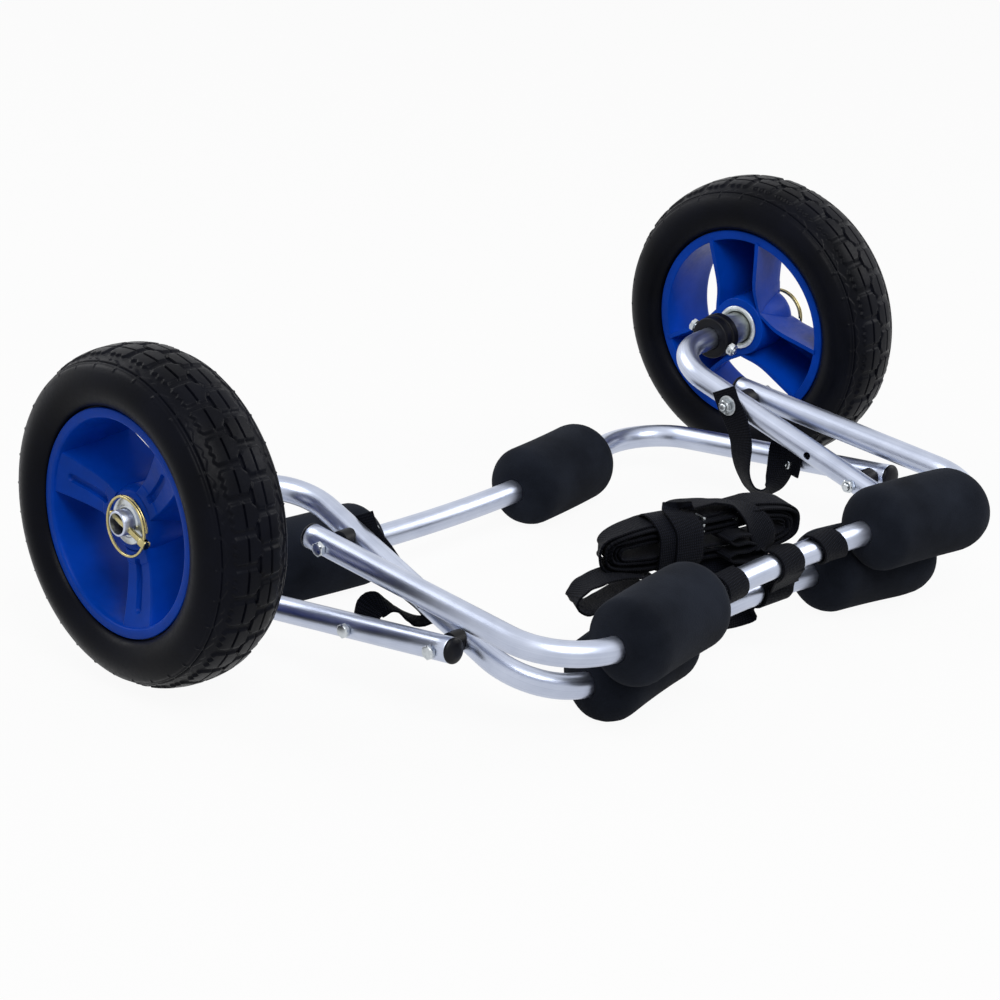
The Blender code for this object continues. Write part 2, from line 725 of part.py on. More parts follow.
def build_wheel(side_name, stub, hub, finishes, spokes):
    """Tyre, rim and bushings, which turn, and what holds them on the axle end."""
    turn = Matrix.Rotation(math.radians(spokes), 4, "X")
    rest = Matrix.Rotation(math.radians(3.5 if side_name == "right" else -3.5), 4, "X")
    tyre = turned_ring(tyre_profile(), WHEEL_SEGMENTS)
    add_object(f"{side_name}_tyre", tyre, hub, finishes["tyre"], rest)
    rim(f"{side_name}_rim", hub, finishes["rim"], turn)
    barrel = HUB_BORE - GAP
    inner = [
        (HUB_INNER - GAP - 0.0022, BUSH_INNER_RADIUS - 0.0012),
        (HUB_INNER - GAP - 0.0030, BUSH_INNER_RADIUS - 0.0030),
        (HUB_INNER - GAP - 0.0012, SLEEVE_RADIUS + 2 * GAP + 0.0005),
        (HUB_INNER + 0.012, SLEEVE_RADIUS + 2 * GAP),
        (HUB_INNER + 0.012, barrel),
        (HUB_INNER - GAP, barrel),
        (HUB_INNER - GAP, BUSH_INNER_RADIUS),
        (HUB_INNER - GAP - 0.0012, BUSH_INNER_RADIUS),
    ]
    add_object(f"{side_name}_inner_bushing", turned_ring(inner, 18), hub, finishes["zinc"])
    bush_bore = TUBE_RADIUS + GAP + 0.0002
    face = HUB_OUTER + GAP + 0.0022
    outer = [
        (HUB_OUTER - 0.014, bush_bore),
        (face + 0.0008, bush_bore),
        (face + 0.0008, bush_bore + 0.0016),
        (face, bush_bore + 0.0024),
        (face, BUSH_OUTER_RADIUS - 0.0006),
        (face - 0.0006, BUSH_OUTER_RADIUS),
        (HUB_OUTER + GAP, BUSH_OUTER_RADIUS),
        (HUB_OUTER + GAP, barrel),
        (HUB_OUTER - 0.014, barrel),
    ]
    add_object(f"{side_name}_outer_bushing", turned_ring(outer, 18), hub, finishes["zinc"])
    sleeve = [
        (COLLAR_OUT + GAP, bush_bore),
        (COLLAR_OUT + GAP, SLEEVE_RADIUS),
        (SLEEVE_END, SLEEVE_RADIUS),
        (SLEEVE_END, bush_bore),
    ]
    add_object(f"{side_name}_spacer_sleeve", turned_ring(sleeve, 18), stub, finishes["zinc"])
    collar(f"{side_name}_collar", stub, finishes["plastic"])
    front = -1 if side_name == "right" else 1
    across = Vector((0, front, 0))
    centre = Vector((COLLAR_BOLT, 0, 0))
    seat = COLLAR_RADIUS + GAP
    nut_end = seat + NUT_HEIGHT
    tip = nut_end + BOLT_TIP
    bolt(f"{side_name}_collar_bolt", centre, -across, seat, -tip, stub, finishes["zinc"])
    ring_washer(f"{side_name}_collar_nut", centre, across, seat, nut_end, HEAD_RADIUS, 6, stub, finishes["zinc"])
    pin_empty = empty(f"{side_name}_pin_slide", Matrix.Translation((PIN_PLACE, 0, 0)), stub)
    lock_pin(f"{side_name}_lock_pin", front, pin_empty, finishes["gold"])
    ring_empty = empty(f"{side_name}_ring_hinge", Matrix.Translation((0, front * PIN_EYE, 0)), pin_empty)
    lock_ring(f"{side_name}_lock_ring", front, ring_empty, finishes["gold"])


def stub_matrix(frame, hub_along, side):
    """The axle end's own frame: X outboard along the stub, Z square to the wheel frame's plane."""
    out = frame.outward(side)
    up = frame.normal
    turn = Matrix((out, up.cross(out), up)).transposed().to_4x4()
    return Matrix.Translation(frame.place(side * WHEEL_SPACING / 2, hub_along)) @ turn


def pivot_hardware(label, side, place, inner_at, outer_at, root, finishes, strap=False):
    """Bolt through two tubes from outside, nut inside, with a broad washer over a strap's end."""
    name = "left" if side < 0 else "right"
    out = Vector((side, 0, 0))
    seat = outer_at + TUBE_RADIUS + GAP
    inside = inner_at - TUBE_RADIUS - GAP
    if strap:
        washer_top = inside - STRAP_ROOM - WEB_THICKNESS - GAP
        inside = washer_top - WASHER_THICKNESS - GAP
        washer = (f"{name}_strap_washer", place, out, inside + GAP, washer_top, WASHER_RADIUS, 12)
        ring_washer(*washer, root, finishes["zinc"])
    tip = inside - NUT_HEIGHT - BOLT_TIP
    bolt(f"{name}_{label}_bolt", place, out, seat, tip, root, finishes["zinc"])
    nut = (f"{name}_{label}_nut", place, out, inside - NUT_HEIGHT, inside, HEAD_RADIUS, 6)
    ring_washer(*nut, root, finishes["zinc"])


def limit_strap_routes(upper_pivot, anchor_inside, upper_inside):
    """Middle lines of the two limit straps and the directions across the webbing."""
    x1, x3 = upper_inside, anchor_inside
    top = (upper_pivot.y, upper_pivot.z)
    right = [
        ((x1, top[0] + 0.0056, top[1] + 0.0106), (0, -0.88, 0.475)),
        ((x1, top[0] - 0.0001, top[1]), (0, -0.88, 0.475)),
        ((x1, -0.0880, 0.0850), (0, -0.93, 0.30)),
        ((x1, -0.0945, 0.0690), (0, -1, 0.1)),
        ((x1 + 0.0010, -0.0975, 0.0540), (0.05, -1, 0)),
        ((x1 + 0.0040, -0.1010, 0.0400), (0.15, -0.98, 0.1)),
        ((x1 + 0.0120, -0.1070, 0.0275), (0.3, -0.9, 0.2)),
        ((x1 + 0.0240, -0.1150, 0.0215), (0.4, -0.85, 0.2)),
        ((x3 - 0.0060, -0.1230, 0.0260), (0.35, -0.85, 0.3)),
        ((x3 - 0.0010, -0.1250, 0.0380), (0, -0.70, 0.7)),
        ((x3, -0.1190, 0.0482), (0, -0.5, 0.86)),
        ((x3, -0.1075, 0.0535), (0, -0.45, 0.9)),
    ]
    left = [
        ((-x1, top[0] + 0.0056, top[1] + 0.0106), (0, -0.88, 0.475)),
        ((-x1, top[0] - 0.0001, top[1]), (0, -0.80, 0.60)),
        ((-x1, -0.1000, 0.0830), (0, -0.65, 0.76)),
        ((-x1 + 0.0008, -0.1220, 0.0665), (0, -0.6, 0.8)),
        ((-x1 + 0.0005, -0.1380, 0.0545), (0.1, -0.6, 0.8)),
        ((-x1 - 0.0030, -0.1460, 0.0490), (0.4, -0.6, 0.7)),
        ((-x1 - 0.0110, -0.1440, 0.0510), (0.5, -0.6, 0.6)),
        ((-x1 - 0.0210, -0.1330, 0.0580), (0.35, -0.75, 0.5)),
        ((-x1 - 0.0300, -0.1220, 0.0640), (0.1, -0.95, 0.2)),
        ((-x3 + 0.0020, -0.1180, 0.0600), (0, -1, 0.0)),
        ((-x3, -0.1175, 0.0480), (0, -1, -0.1)),
        ((-x3, -0.1140, 0.0330), (0, -1, -0.1)),
    ]
    return {"left": left, "right": right}


def wrap(frame, places, angles):
    """Hand-laid points round a crossbar: from one place and angle to another, up being 90 degrees."""
    radius = TUBE_RADIUS + WEB_THICKNESS / 2 + GAP + 0.0007
    route = []
    for i in range(9):
        middle, direction = frame.bar(places[0] + (places[1] - places[0]) * i / 8)
        up = (Vector((0, 0, 1)) - direction.z * direction).normalized()
        back = up.cross(direction)
        angle = math.radians(angles[0] + (angles[1] - angles[0]) * i / 8)
        route.append((middle + radius * (math.cos(angle) * back + math.sin(angle) * up), direction))
    return route


def tie_down_strap(parent, upper, wheel, finishes):
    """The stowed strap: its hank, the band round the hank, the wraps on the bars and a loose loop."""
    web = finishes["webbing"]
    hank("strap_hank", parent, web)
    turn = Matrix.Rotation(math.radians(HANK_YAW), 3, "Z")
    centre = Vector(HANK_CENTRE)
    back, front = WEB_WIDTH / 2 + 0.0022, -WEB_WIDTH / 2 - 0.0022
    top = HANK_HALF_HEIGHT - HANK_WAIST + 0.0034
    loop = [
        (front, -top * 0.2),
        (front, top * 0.6),
        (front * 0.8, top),
        (0.0, top + 0.0006),
        (back * 0.8, top),
        (back, top * 0.6),
        (back, -top * 0.6),
        (back * 0.8, -top),
        (0.0, -top - 0.0006),
        (front * 0.8, -top),
        (front - 0.0026, -top * 0.6),
        (front - 0.0028, top * 0.1),
    ]
    band = [(centre + turn @ Vector((-0.010, y, z)), turn @ Vector((1, 0, 0))) for y, z in loop]
    ribbon("strap_hank_band", band, parent, web, steps=2)
    loose = [
        ((-0.1452, -0.2450, 0.1010), (0, 1, 0)),
        ((-0.1560, -0.2460, 0.0985), (0, 1, 0)),
        ((-0.1690, -0.2470, 0.0920), (0, 1, 0)),
        ((-0.1745, -0.2470, 0.0810), (0, 1, 0)),
        ((-0.1680, -0.2460, 0.0725), (0, 1, 0)),
        ((-0.1560, -0.2450, 0.0715), (0, 1, 0)),
        ((-0.1400, -0.2450, 0.0760), (0, 1, 0)),
    ]
    ribbon("strap_loose_loop", loose, parent, web)
    left = wrap(upper, (-0.0600, -0.0530), (105, 315))
    ribbon("strap_left_wrap", left, parent, web, steps=2)
    far = wrap(upper, (0.0480, 0.0780), (50, 400))
    ribbon("strap_far_wrap", far, parent, web, steps=2)
    over = wrap(upper, (0.0180, 0.0200), (100, 222))
    under = wrap(wheel, (0.0340, 0.0360), (222, 330))
    tail = [
        ((0.0330, -0.2490, 0.0320), (0.6, 0, 0.8)),
        ((0.0180, -0.2500, 0.0270), (0.1, 0.2, 1)),
        ((-0.0060, -0.2530, 0.0260), (0, 0.2, 1)),
    ]
    link = [(over[-1][0].lerp(under[0][0], t), over[-1][1]) for t in (0.12, 0.35, 0.65, 0.88)]
    ribbon("strap_right_wrap", over[::2] + link + under[::2] + tail, parent, web, steps=2)


def buckle(parent, finishes):
    """The metal buckle at the front of the hank."""
    turn = Matrix.Rotation(math.radians(HANK_YAW), 4, "Z")
    place = Vector(HANK_CENTRE) + Vector((0.018, -0.0228, 0.0165)) - parent_place(parent)
    body = bmesh.new()
    wide, deep, high, wall = 0.0165, 0.0055, 0.0130, 0.0018
    outline = [
        (-wide, -high),
        (-wide, high),
        (-wide + wall, high),
        (-wide + wall, -high + wall),
        (wide - wall, -high + wall),
        (wide - wall, high),
        (wide, high),
        (wide, -high),
    ]
    loft(body, [[(x, y, z) for x, z in outline] for y in (-deep, deep)])
    add_object("buckle_body", body, parent, finishes["zinc"], Matrix.Translation(place) @ turn)


def main():
    clear_scene()
    finishes = {
        "tube": material("anodised_tube", 0xC3C6D6, 0.30, 1.0),
        "foam": material("charcoal_foam", 0x26282E, 0.90),
        "plastic": material("black_plastic", 0x1B1C20, 0.45),
        "zinc": material("zinc_plate", 0xAEB4B8, 0.30, 1.0),
        "gold": material("yellow_zinc", 0xB9A56A, 0.30, 1.0),
        "tyre": material("black_tyre", 0x1C1D22, 0.55),
        "rim": material("blue_plastic", 0x0B3FA6, 0.40),
        "webbing": material("black_webbing", 0x14151A, 0.85),
    }
    trolley = empty("trolley", Matrix.Translation((0, -ORIGIN_Y, FLOOR_DROP)))

    hub_along = WHEEL_SPACING / 2 * math.tan(math.radians(FRAMES["wheel"]["lean"]))
    tilt = math.radians(WHEEL_TILT)
    reach = 0.3170
    corner = (-reach * math.cos(tilt), AXLE_HEIGHT - reach * math.sin(tilt))
    hub_along = reach
    wheel = Frame("wheel", corner, WHEEL_TILT)
    upper = Frame("upper", UPPER_CORNER, UPPER_TILT)
    rear = Frame("rear", REAR_CORNER, REAR_TILT)

    pivot_a = wheel.leg(UPPER_PIVOT, 1)
    pivot_b = wheel.leg(REAR_PIVOT, 1)
    anchor = rear.leg(STRAP_ANCHOR, 1)
    upper_hinge = empty("upper_frame_hinge", Matrix.Translation((0, pivot_a.y, pivot_a.z)), trolley)
    rear_hinge = empty("rear_frame_hinge", Matrix.Translation((0, pivot_b.y, pivot_b.z)), trolley)

    across_x = Vector((1, 0, 0))
    wheel_holes = []
    for side in (-1, 1):
        for along in (UPPER_PIVOT, REAR_PIVOT, SPARE_HOLE):
            wheel_holes.append((wheel.leg(along, side), across_x, 0.013))
        stub = stub_matrix(wheel, hub_along, side)
        for place in (COLLAR_BOLT, PIN_PLACE):
            centre = stub @ Vector((place, 0, 0))
            wheel_holes.append((centre, wheel.leg_direction(side), 0.013))
    path = wheel.path(axle_ends(wheel, hub_along))
    tube("wheel_frame_tube", wheel, path, trolley, finishes["tube"], wheel_holes)

    upper_along = (pivot_a - upper.corner).dot(upper.along)
    rear_along = (pivot_b - rear.corner).dot(rear.along)
    upper_x = upper.size["half"] - upper_along * math.tan(upper.lean)
    rear_x = rear.size["half"] - rear_along * math.tan(rear.lean)
    upper_path = [p - parent_place(upper_hinge) for p in upper.path([upper_end(upper, UPPER_LEG)])]
    holes = [(side_place(upper_x, pivot_a, side, upper_hinge), across_x, 0.013) for side in (-1, 1)]
    tube("upper_frame_tube", upper, upper_path, upper_hinge, finishes["tube"], holes)
    rear_path = [p - parent_place(rear_hinge) for p in rear.path([upper_end(rear, REAR_LEG)])]
    holes = [(side_place(rear_x, pivot_b, side, rear_hinge), across_x, 0.013) for side in (-1, 1)]
    holes += [(side_place(anchor.x, anchor, side, rear_hinge), across_x, 0.013) for side in (-1, 1)]
    tube("rear_frame_tube", rear, rear_path, rear_hinge, finishes["tube"], holes)

    floor = (Vector((0, 0, -FLOOR_DROP)), Vector((0, 0, -1)))
    for k, name in enumerate(("left", "right")):
        low = wheel.bar(PAD_PLACES["wheel"][k])[0]
        high = upper.bar(PAD_PLACES["upper"][k])[0]
        between = high - low
        between.x = 0
        between.normalize()
        middle = (low + high) / 2
        low_cuts = [floor, (middle - GAP * between, between)]
        high_cuts = [(middle + GAP * between, -between)]
        pad(f"{name}_lower_pad", wheel, PAD_PLACES["wheel"][k], trolley, finishes["foam"], low_cuts)
        pad(f"{name}_upper_pad", upper, PAD_PLACES["upper"][k], upper_hinge, finishes["foam"], high_cuts)
        pad(f"{name}_rear_pad", rear, PAD_PLACES["rear"][k], rear_hinge, finishes["foam"], [floor])

    for side, name in ((-1, "left"), (1, "right")):
        plug(f"{name}_upper_plug", upper, UPPER_LEG, side, upper_hinge, finishes["plastic"])
        plug(f"{name}_rear_plug", rear, REAR_LEG, side, rear_hinge, finishes["plastic"])
        seat = (wheel.leg(UPPER_PIVOT, side), wheel.leg_direction(side))
        face = upper_x - TUBE_RADIUS - 2 * GAP
        saddle(f"{name}_upper_spacer", seat, face, trolley, finishes["plastic"])
        seat = (wheel.leg(REAR_PIVOT, side), wheel.leg_direction(side))
        face = rear_x - TUBE_RADIUS - 2 * GAP
        saddle(f"{name}_rear_spacer", seat, face, trolley, finishes["plastic"])
        place = Vector((0, pivot_a.y, pivot_a.z))
        pivot_hardware("upper_pivot", side, place, pivot_a.x, upper_x, trolley, finishes, strap=True)
        place = Vector((0, pivot_b.y, pivot_b.z))
        pivot_hardware("rear_pivot", side, place, pivot_b.x, rear_x, trolley, finishes)
        place = Vector((0, anchor.y, anchor.z)) - parent_place(rear_hinge)
        out = Vector((side, 0, 0))
        seat = anchor.x + TUBE_RADIUS + GAP
        inside = anchor.x - TUBE_RADIUS - GAP - WEB_THICKNESS - 4 * GAP
        tip = inside - NUT_HEIGHT - BOLT_TIP
        bolt(f"{name}_anchor_bolt", place, out, seat, tip, rear_hinge, finishes["zinc"])
        nut = (f"{name}_anchor_nut", place, out, inside - NUT_HEIGHT, inside, HEAD_RADIUS, 6)
        ring_washer(*nut, rear_hinge, finishes["zinc"])

    strap_x = pivot_a.x - TUBE_RADIUS - GAP - WEB_THICKNESS / 2 - STRAP_ROOM
    anchor_x = anchor.x - TUBE_RADIUS - GAP - WEB_THICKNESS / 2 - 2 * GAP
    for name, route in limit_strap_routes(pivot_a, anchor_x, strap_x).items():
        strap = ribbon(f"{name}_limit_strap", route, trolley, finishes["webbing"], steps=2)
        side = -1 if name == "left" else 1
        cutter = bmesh.new()
        for line, across in ((pivot_a, strap_x), (anchor, anchor_x)):
            add_rod(cutter, Vector((side * across, line.y, line.z)), across_x, -0.003, 0.003, BOLT_HOLE, 8)
        bore(strap, cutter, trolley)

    for side, name, spokes in ((-1, "left", LEFT_SPOKES), (1, "right", RIGHT_SPOKES)):
        stub = empty(f"{name}_axle_end", stub_matrix(wheel, hub_along, side), trolley)
        hub = empty(f"{name}_wheel_spin", Matrix.Identity(4), stub)
        build_wheel(name, stub, hub, finishes, spokes)

    tie_down_strap(upper_hinge, upper, wheel, finishes)
    buckle(upper_hinge, finishes)


def upper_end(frame, length):
    """The free end of a straight leg, as a point of its frame's plane."""
    return frame.size["half"] - length * math.tan(frame.lean), length


def side_place(across, line, side, parent=None):
    """A point on a bolt line, at a distance from the trolley's middle."""
    place = Vector((side * across, line.y, line.z))
    return place - parent_place(parent) if parent else place


main()
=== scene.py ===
"""A folding kayak trolley on a pale studio floor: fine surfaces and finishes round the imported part."""

import math

import bmesh
import bpy
import numpy as np
from mathutils import Matrix


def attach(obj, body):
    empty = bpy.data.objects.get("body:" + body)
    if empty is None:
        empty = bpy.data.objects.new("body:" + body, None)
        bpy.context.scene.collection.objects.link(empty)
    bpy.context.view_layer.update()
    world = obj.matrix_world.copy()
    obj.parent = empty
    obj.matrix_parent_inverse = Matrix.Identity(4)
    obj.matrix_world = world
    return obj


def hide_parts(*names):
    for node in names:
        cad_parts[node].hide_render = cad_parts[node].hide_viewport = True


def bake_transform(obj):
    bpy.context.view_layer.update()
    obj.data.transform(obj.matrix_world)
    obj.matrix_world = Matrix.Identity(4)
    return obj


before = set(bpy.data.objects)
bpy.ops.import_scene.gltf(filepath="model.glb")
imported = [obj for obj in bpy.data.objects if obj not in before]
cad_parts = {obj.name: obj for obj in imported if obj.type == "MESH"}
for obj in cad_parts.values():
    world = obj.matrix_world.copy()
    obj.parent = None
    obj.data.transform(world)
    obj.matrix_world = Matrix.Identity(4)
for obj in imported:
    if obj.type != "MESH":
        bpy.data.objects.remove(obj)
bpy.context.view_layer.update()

# Lengths are in metres and angles in degrees. The shapes are written with the axles over y = 0, and SHIFT
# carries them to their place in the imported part.
SHIFT = np.array([0.0, 0.1132, 0.0001])

# The tubes: outside, bore, and the small bevel at their ends
TUBE_RADIUS = 0.00965
TUBE_BORE = 0.0080
TUBE_BEVEL = 0.0005

# The axles: their height, the distance between the wheels' middles, how far a stub reaches past its wheel's
# middle, the bend before the stub, and how far along the legs the stubs lie
AXLE_HEIGHT = 0.127
WHEEL_SPACING = 0.713
AXLE_END = 0.030
AXLE_BEND = 0.043
HUB_ALONG = 0.3170

# Each frame lies in a plane: its tilt from the floor, and the (y, z) at which its legs' lines begin
WHEEL_TILT = 19.0
TILTS = {"wheel": WHEEL_TILT, "upper": 5.67, "rear": 174.0}
CORNERS = {
    "wheel": (
        -HUB_ALONG * math.cos(math.radians(WHEEL_TILT)),
        AXLE_HEIGHT - HUB_ALONG * math.sin(math.radians(WHEEL_TILT)),
    ),
    "upper": (-0.3371, 0.0734),
    "rear": (0.0703, 0.0285),
}

# In its plane: half the width where the legs begin, how far along the crossbar's middle lies, the radius of
# the crossbar's bow, the radius of the corners, and how far the legs lean inwards
FRAMES = {
    "wheel": (0.2409, 0.0382, 0.833, 0.0555, 3.79),
    "upper": (0.2580, 0.0362, 1.010, 0.0556, 1.04),
    "rear": (0.2673, 0.0525, 0.748, 0.0449, 0.99),
}

# Along the legs: open ends, the wheel frame's two hinges and spare hole, and the rear frame's strap anchor
LEG_ENDS = {"upper": 0.2761, "rear": 0.2871}
UPPER_PIVOT = 0.2307
REAR_PIVOT = 0.1020
SPARE_HOLE = 0.1480
SPARE_HOLE_RADIUS = 0.0033
STRAP_ANCHOR = 0.1900

# Bolts and nuts: shank, corners and height of a head, height of a nut, and a slant that turns their hexagons
BOLT_RADIUS = 0.0030
HEAD_RADIUS = 0.0058
HEAD_HIGH = 0.0042
NUT_HIGH = 0.0050
BOLT_UP = (0.31, 0.47, 0.83)

# The narrow gap that keeps pieces which lie on each other apart
GAP = 0.0003

BODIES = {"wheel": "wheel_frame", "upper": "upper_frame", "rear": "rear_frame"}
SIDES = ((-1, "left"), (1, "right"))


# Making meshes


def make_object(name, verts, faces, surface, uvs=None):
    """Puts an array of points and a list of faces into a new smooth mesh whose object sits at the origin."""
    mesh = bpy.data.meshes.new(name)
    mesh.from_pydata(verts.tolist(), [], faces)
    if uvs is not None:
        layer = mesh.uv_layers.new(name="weave")
        index = np.empty(len(mesh.loops), np.int32)
        mesh.loops.foreach_get("vertex_index", index)
        layer.data.foreach_set("uv", np.asarray(uvs, np.float32)[index].ravel())
    mesh.materials.append(surface)
    mesh.shade_smooth()
    made = bpy.data.objects.new(name, mesh)
    bpy.context.scene.collection.objects.link(made)
    return made


def grid_object(name, points, surface, wrap_rows=False, caps=False, uvs=None):
    """A grid of points (rows, columns, 3) as one skin of quads whose rows are closed rings.

    The last row joins the first where the rows wrap; otherwise caps may close them.
    """
    rows, columns = points.shape[:2]
    r, c = np.meshgrid(np.arange(rows if wrap_rows else rows - 1), np.arange(columns), indexing="ij")
    r2, c2 = (r + 1) % rows, (c + 1) % columns
    quads = np.stack([r * columns + c, r2 * columns + c, r2 * columns + c2, r * columns + c2], -1)
    faces = quads.reshape(-1, 4).tolist()
    if caps:
        last = (rows - 1) * columns
        faces += [list(range(columns)), list(range(last, last + columns))[::-1]]
    if uvs is not None:
        uvs = uvs.reshape(-1, 2)
    return make_object(name, points.reshape(-1, 3), faces, surface, uvs)


def outward(obj):
    """Recalculates the normals of a closed mesh so that its faces point out."""
    bm = bmesh.new()
    bm.from_mesh(obj.data)
    bmesh.ops.recalc_face_normals(bm, faces=bm.faces)
    bm.to_mesh(obj.data)
    bm.free()
    return obj


def sharpen(obj, degrees=38):
    """Smooth shading that breaks at edges sharper than the angle."""
    obj.data.shade_smooth()
    obj.data.set_sharp_from_angle(angle=math.radians(degrees))
    return obj


def join(name, parts):
    """Makes several shells one piece."""
    verts, faces, start = [], [], 0
    for part in parts:
        count = len(part.data.vertices)
        co = np.empty(count * 3)
        part.data.vertices.foreach_get("co", co)
        verts.append(co.reshape(-1, 3))
        faces += [[start + i for i in face.vertices] for face in part.data.polygons]
        start += count
    surface = parts[0].data.materials[0]
    for part in parts:
        bpy.data.objects.remove(part)
    return make_object(name, np.concatenate(verts), faces, surface)


def turned(name, profile, matrix, surface, sides=64, solid=False, degrees=38, hexed=()):
    """A profile of (along, radius) points turned about the local X axis; solid ones get flat end caps.

    The rows numbered in hexed are drawn in from their circle to the hexagon inside it.
    """
    profile = np.array(profile)
    angle = 2 * np.pi * np.arange(sides) / sides
    along = np.repeat(profile[:, :1], sides, 1)
    radius = np.repeat(profile[:, 1:], sides, 1)
    sixth = math.pi / 3
    radius[list(hexed)] *= math.cos(sixth / 2) / np.cos(angle % sixth - sixth / 2)
    points = place(np.stack([along, radius * np.cos(angle), radius * np.sin(angle)], -1), matrix)
    made = grid_object(name, points, surface, wrap_rows=not solid, caps=solid)
    return sharpen(outward(made), degrees)


def place(points, matrix):
    """Local points carried by a 4 by 4 matrix."""
    return points @ matrix[:3, :3].T + matrix[:3, 3]


def rounded(corners, radius, steps=4):
    """A closed outline whose corners are cut by arcs of the radius, each a blend of three points."""
    corners = np.array(corners, float)
    count = len(corners)
    radius = np.broadcast_to(radius, count)
    t = np.linspace(0, 1, steps)[:, None]
    out = []
    for i in range(count):
        here = corners[i]
        before, after = corners[i - 1] - here, corners[(i + 1) % count] - here
        lengths = np.linalg.norm(before), np.linalg.norm(after)
        cut = min(radius[i], lengths[0] * 0.49, lengths[1] * 0.49)
        if cut <= 0:
            out.append(here[None])
            continue
        first, last = here + before / lengths[0] * cut, here + after / lengths[1] * cut
        out.append((1 - t) ** 2 * first + 2 * t * (1 - t) * here + t**2 * last)
    return np.concatenate(out)


def axes(origin, x, z):
    """A 4 by 4 matrix at a point with its X along one direction and its Z as near as can be to another."""
    x = np.array(x, float) / np.linalg.norm(x)
    y = np.cross(z, x)
    y /= np.linalg.norm(y)
    made = np.eye(4)
    made[:3, 0], made[:3, 1], made[:3, 2], made[:3, 3] = x, y, np.cross(x, y), origin
    return made


def spun(matrix, degrees):
    """The same place, turned about its own X axis."""
    angle = math.radians(degrees)
    turn = np.eye(4)
    turn[1:3, 1:3] = [[math.cos(angle), -math.sin(angle)], [math.sin(angle), math.cos(angle)]]
    return matrix @ turn


def directions(line):
    """Unit directions along a line of points."""
    step = np.diff(line, axis=0)
    step /= np.linalg.norm(step, axis=1, keepdims=True)
    mean = np.concatenate([step[:1], step[:-1] + step[1:], step[-1:]])
    return mean / np.linalg.norm(mean, axis=1, keepdims=True)


def travelled(line):
    """Distance along a line of points."""
    return np.concatenate([[0], np.cumsum(np.linalg.norm(np.diff(line, axis=0), axis=1))])


def spline(knots, values, wanted):
    """A smooth curve through values at knots (cubic, with slopes from the neighbours)."""
    slope = np.gradient(values, knots)
    i = np.clip(np.searchsorted(knots, wanted, "right") - 1, 0, len(knots) - 2)
    width = knots[i + 1] - knots[i]
    t = (wanted - knots[i]) / width
    first = (2 * t**3 - 3 * t**2 + 1) * values[i] + (t**3 - 2 * t**2 + t) * width * slope[i]
    return first + (-2 * t**3 + 3 * t**2) * values[i + 1] + (t**3 - t**2) * width * slope[i + 1]


def circles(side, up, sides):
    """A unit circle for each row, its points cos(angle) of the side direction plus sin(angle) of up."""
    angle = 2 * np.pi * np.arange(sides) / sides
    return np.cos(angle)[:, None] * side[:, None] + np.sin(angle)[:, None] * np.atleast_2d(up)[:, None]


def ride_for(piece, cad, body):
    """Lets a piece move with a body and stand for a CAD node, whose mesh it hides."""
    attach(piece, body)
    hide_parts(cad)


# The frames' planes and middle lines


class Plane:
    """One U of tube: its plane, its crossbar's bow, its corners and its legs."""

    def __init__(self, kind):
        self.half, self.sag, self.bow, self.corner, lean = FRAMES[kind]
        self.lean = math.radians(lean)
        tilt = math.radians(TILTS[kind])
        self.start = np.array([0.0, *CORNERS[kind]]) + SHIFT
        self.along = np.array([0.0, math.cos(tilt), math.sin(tilt)])
        self.normal = np.array([0.0, -math.sin(tilt), math.cos(tilt)])
        self.x = np.array([1.0, 0.0, 0.0])
        high = self.corner
        for _ in range(30):
            across = self.half - (self.corner + high * math.sin(self.lean)) / math.cos(self.lean)
            high = self.sag - self.bow + math.sqrt((self.bow + self.corner) ** 2 - across**2)
        self.centre = (across, high)
        self.touch = math.atan2(across, high - self.sag + self.bow)

    def at(self, flat):
        """Points of the plane, given as (across, along)."""
        flat = np.atleast_2d(flat)
        return self.start + flat[:, :1] * self.x + flat[:, 1:] * self.along

    def leg(self, along, side):
        """The point on a leg's middle line this far along."""
        return self.at((side * (self.half - along * math.tan(self.lean)), along))[0]

    def leg_direction(self, side):
        """The way in which a leg runs, away from the crossbar."""
        return -side * math.sin(self.lean) * self.x + math.cos(self.lean) * self.along

    def outward(self, side):
        """The direction square to a leg, away from the other one."""
        return side * math.cos(self.lean) * self.x + math.sin(self.lean) * self.along

    def bar(self, across):
        """Points on the crossbar's bow, from how far across they lie."""
        across = np.atleast_1d(across)
        flat = np.stack([across, self.sag - self.bow + np.sqrt(self.bow**2 - across**2)], -1)
        return self.at(flat)

    def half_line(self, tail):
        """The flat middle line from the crossbar's middle round the right corner and along the tail."""
        angle = np.linspace(0, self.touch, 24)[:-1]
        bar = np.stack([self.bow * np.sin(angle), self.sag - self.bow + self.bow * np.cos(angle)], -1)
        angle = np.linspace(-math.pi / 2 - self.touch, self.lean, 22)
        bend = np.array(self.centre) + self.corner * np.stack([np.cos(angle), np.sin(angle)], -1)
        leg = bend[-1] + (np.array(tail[0]) - bend[-1]) * np.linspace(0.1, 0.95, 12)[:, None]
        return np.concatenate([bar, bend, leg, tail])

    def line(self, tail):
        """The whole middle line, from the left leg's end to the right leg's."""
        right = self.half_line(tail)
        left = right[:0:-1] * (-1, 1)
        return self.at(np.concatenate([left, right]))

    def free_end(self, along):
        """The tail of a leg that simply ends, this far along."""
        return [(self.half - along * math.tan(self.lean), along)]


planes = {kind: Plane(kind) for kind in FRAMES}
wheel_plane, upper_plane, rear_plane = planes["wheel"], planes["upper"], planes["rear"]


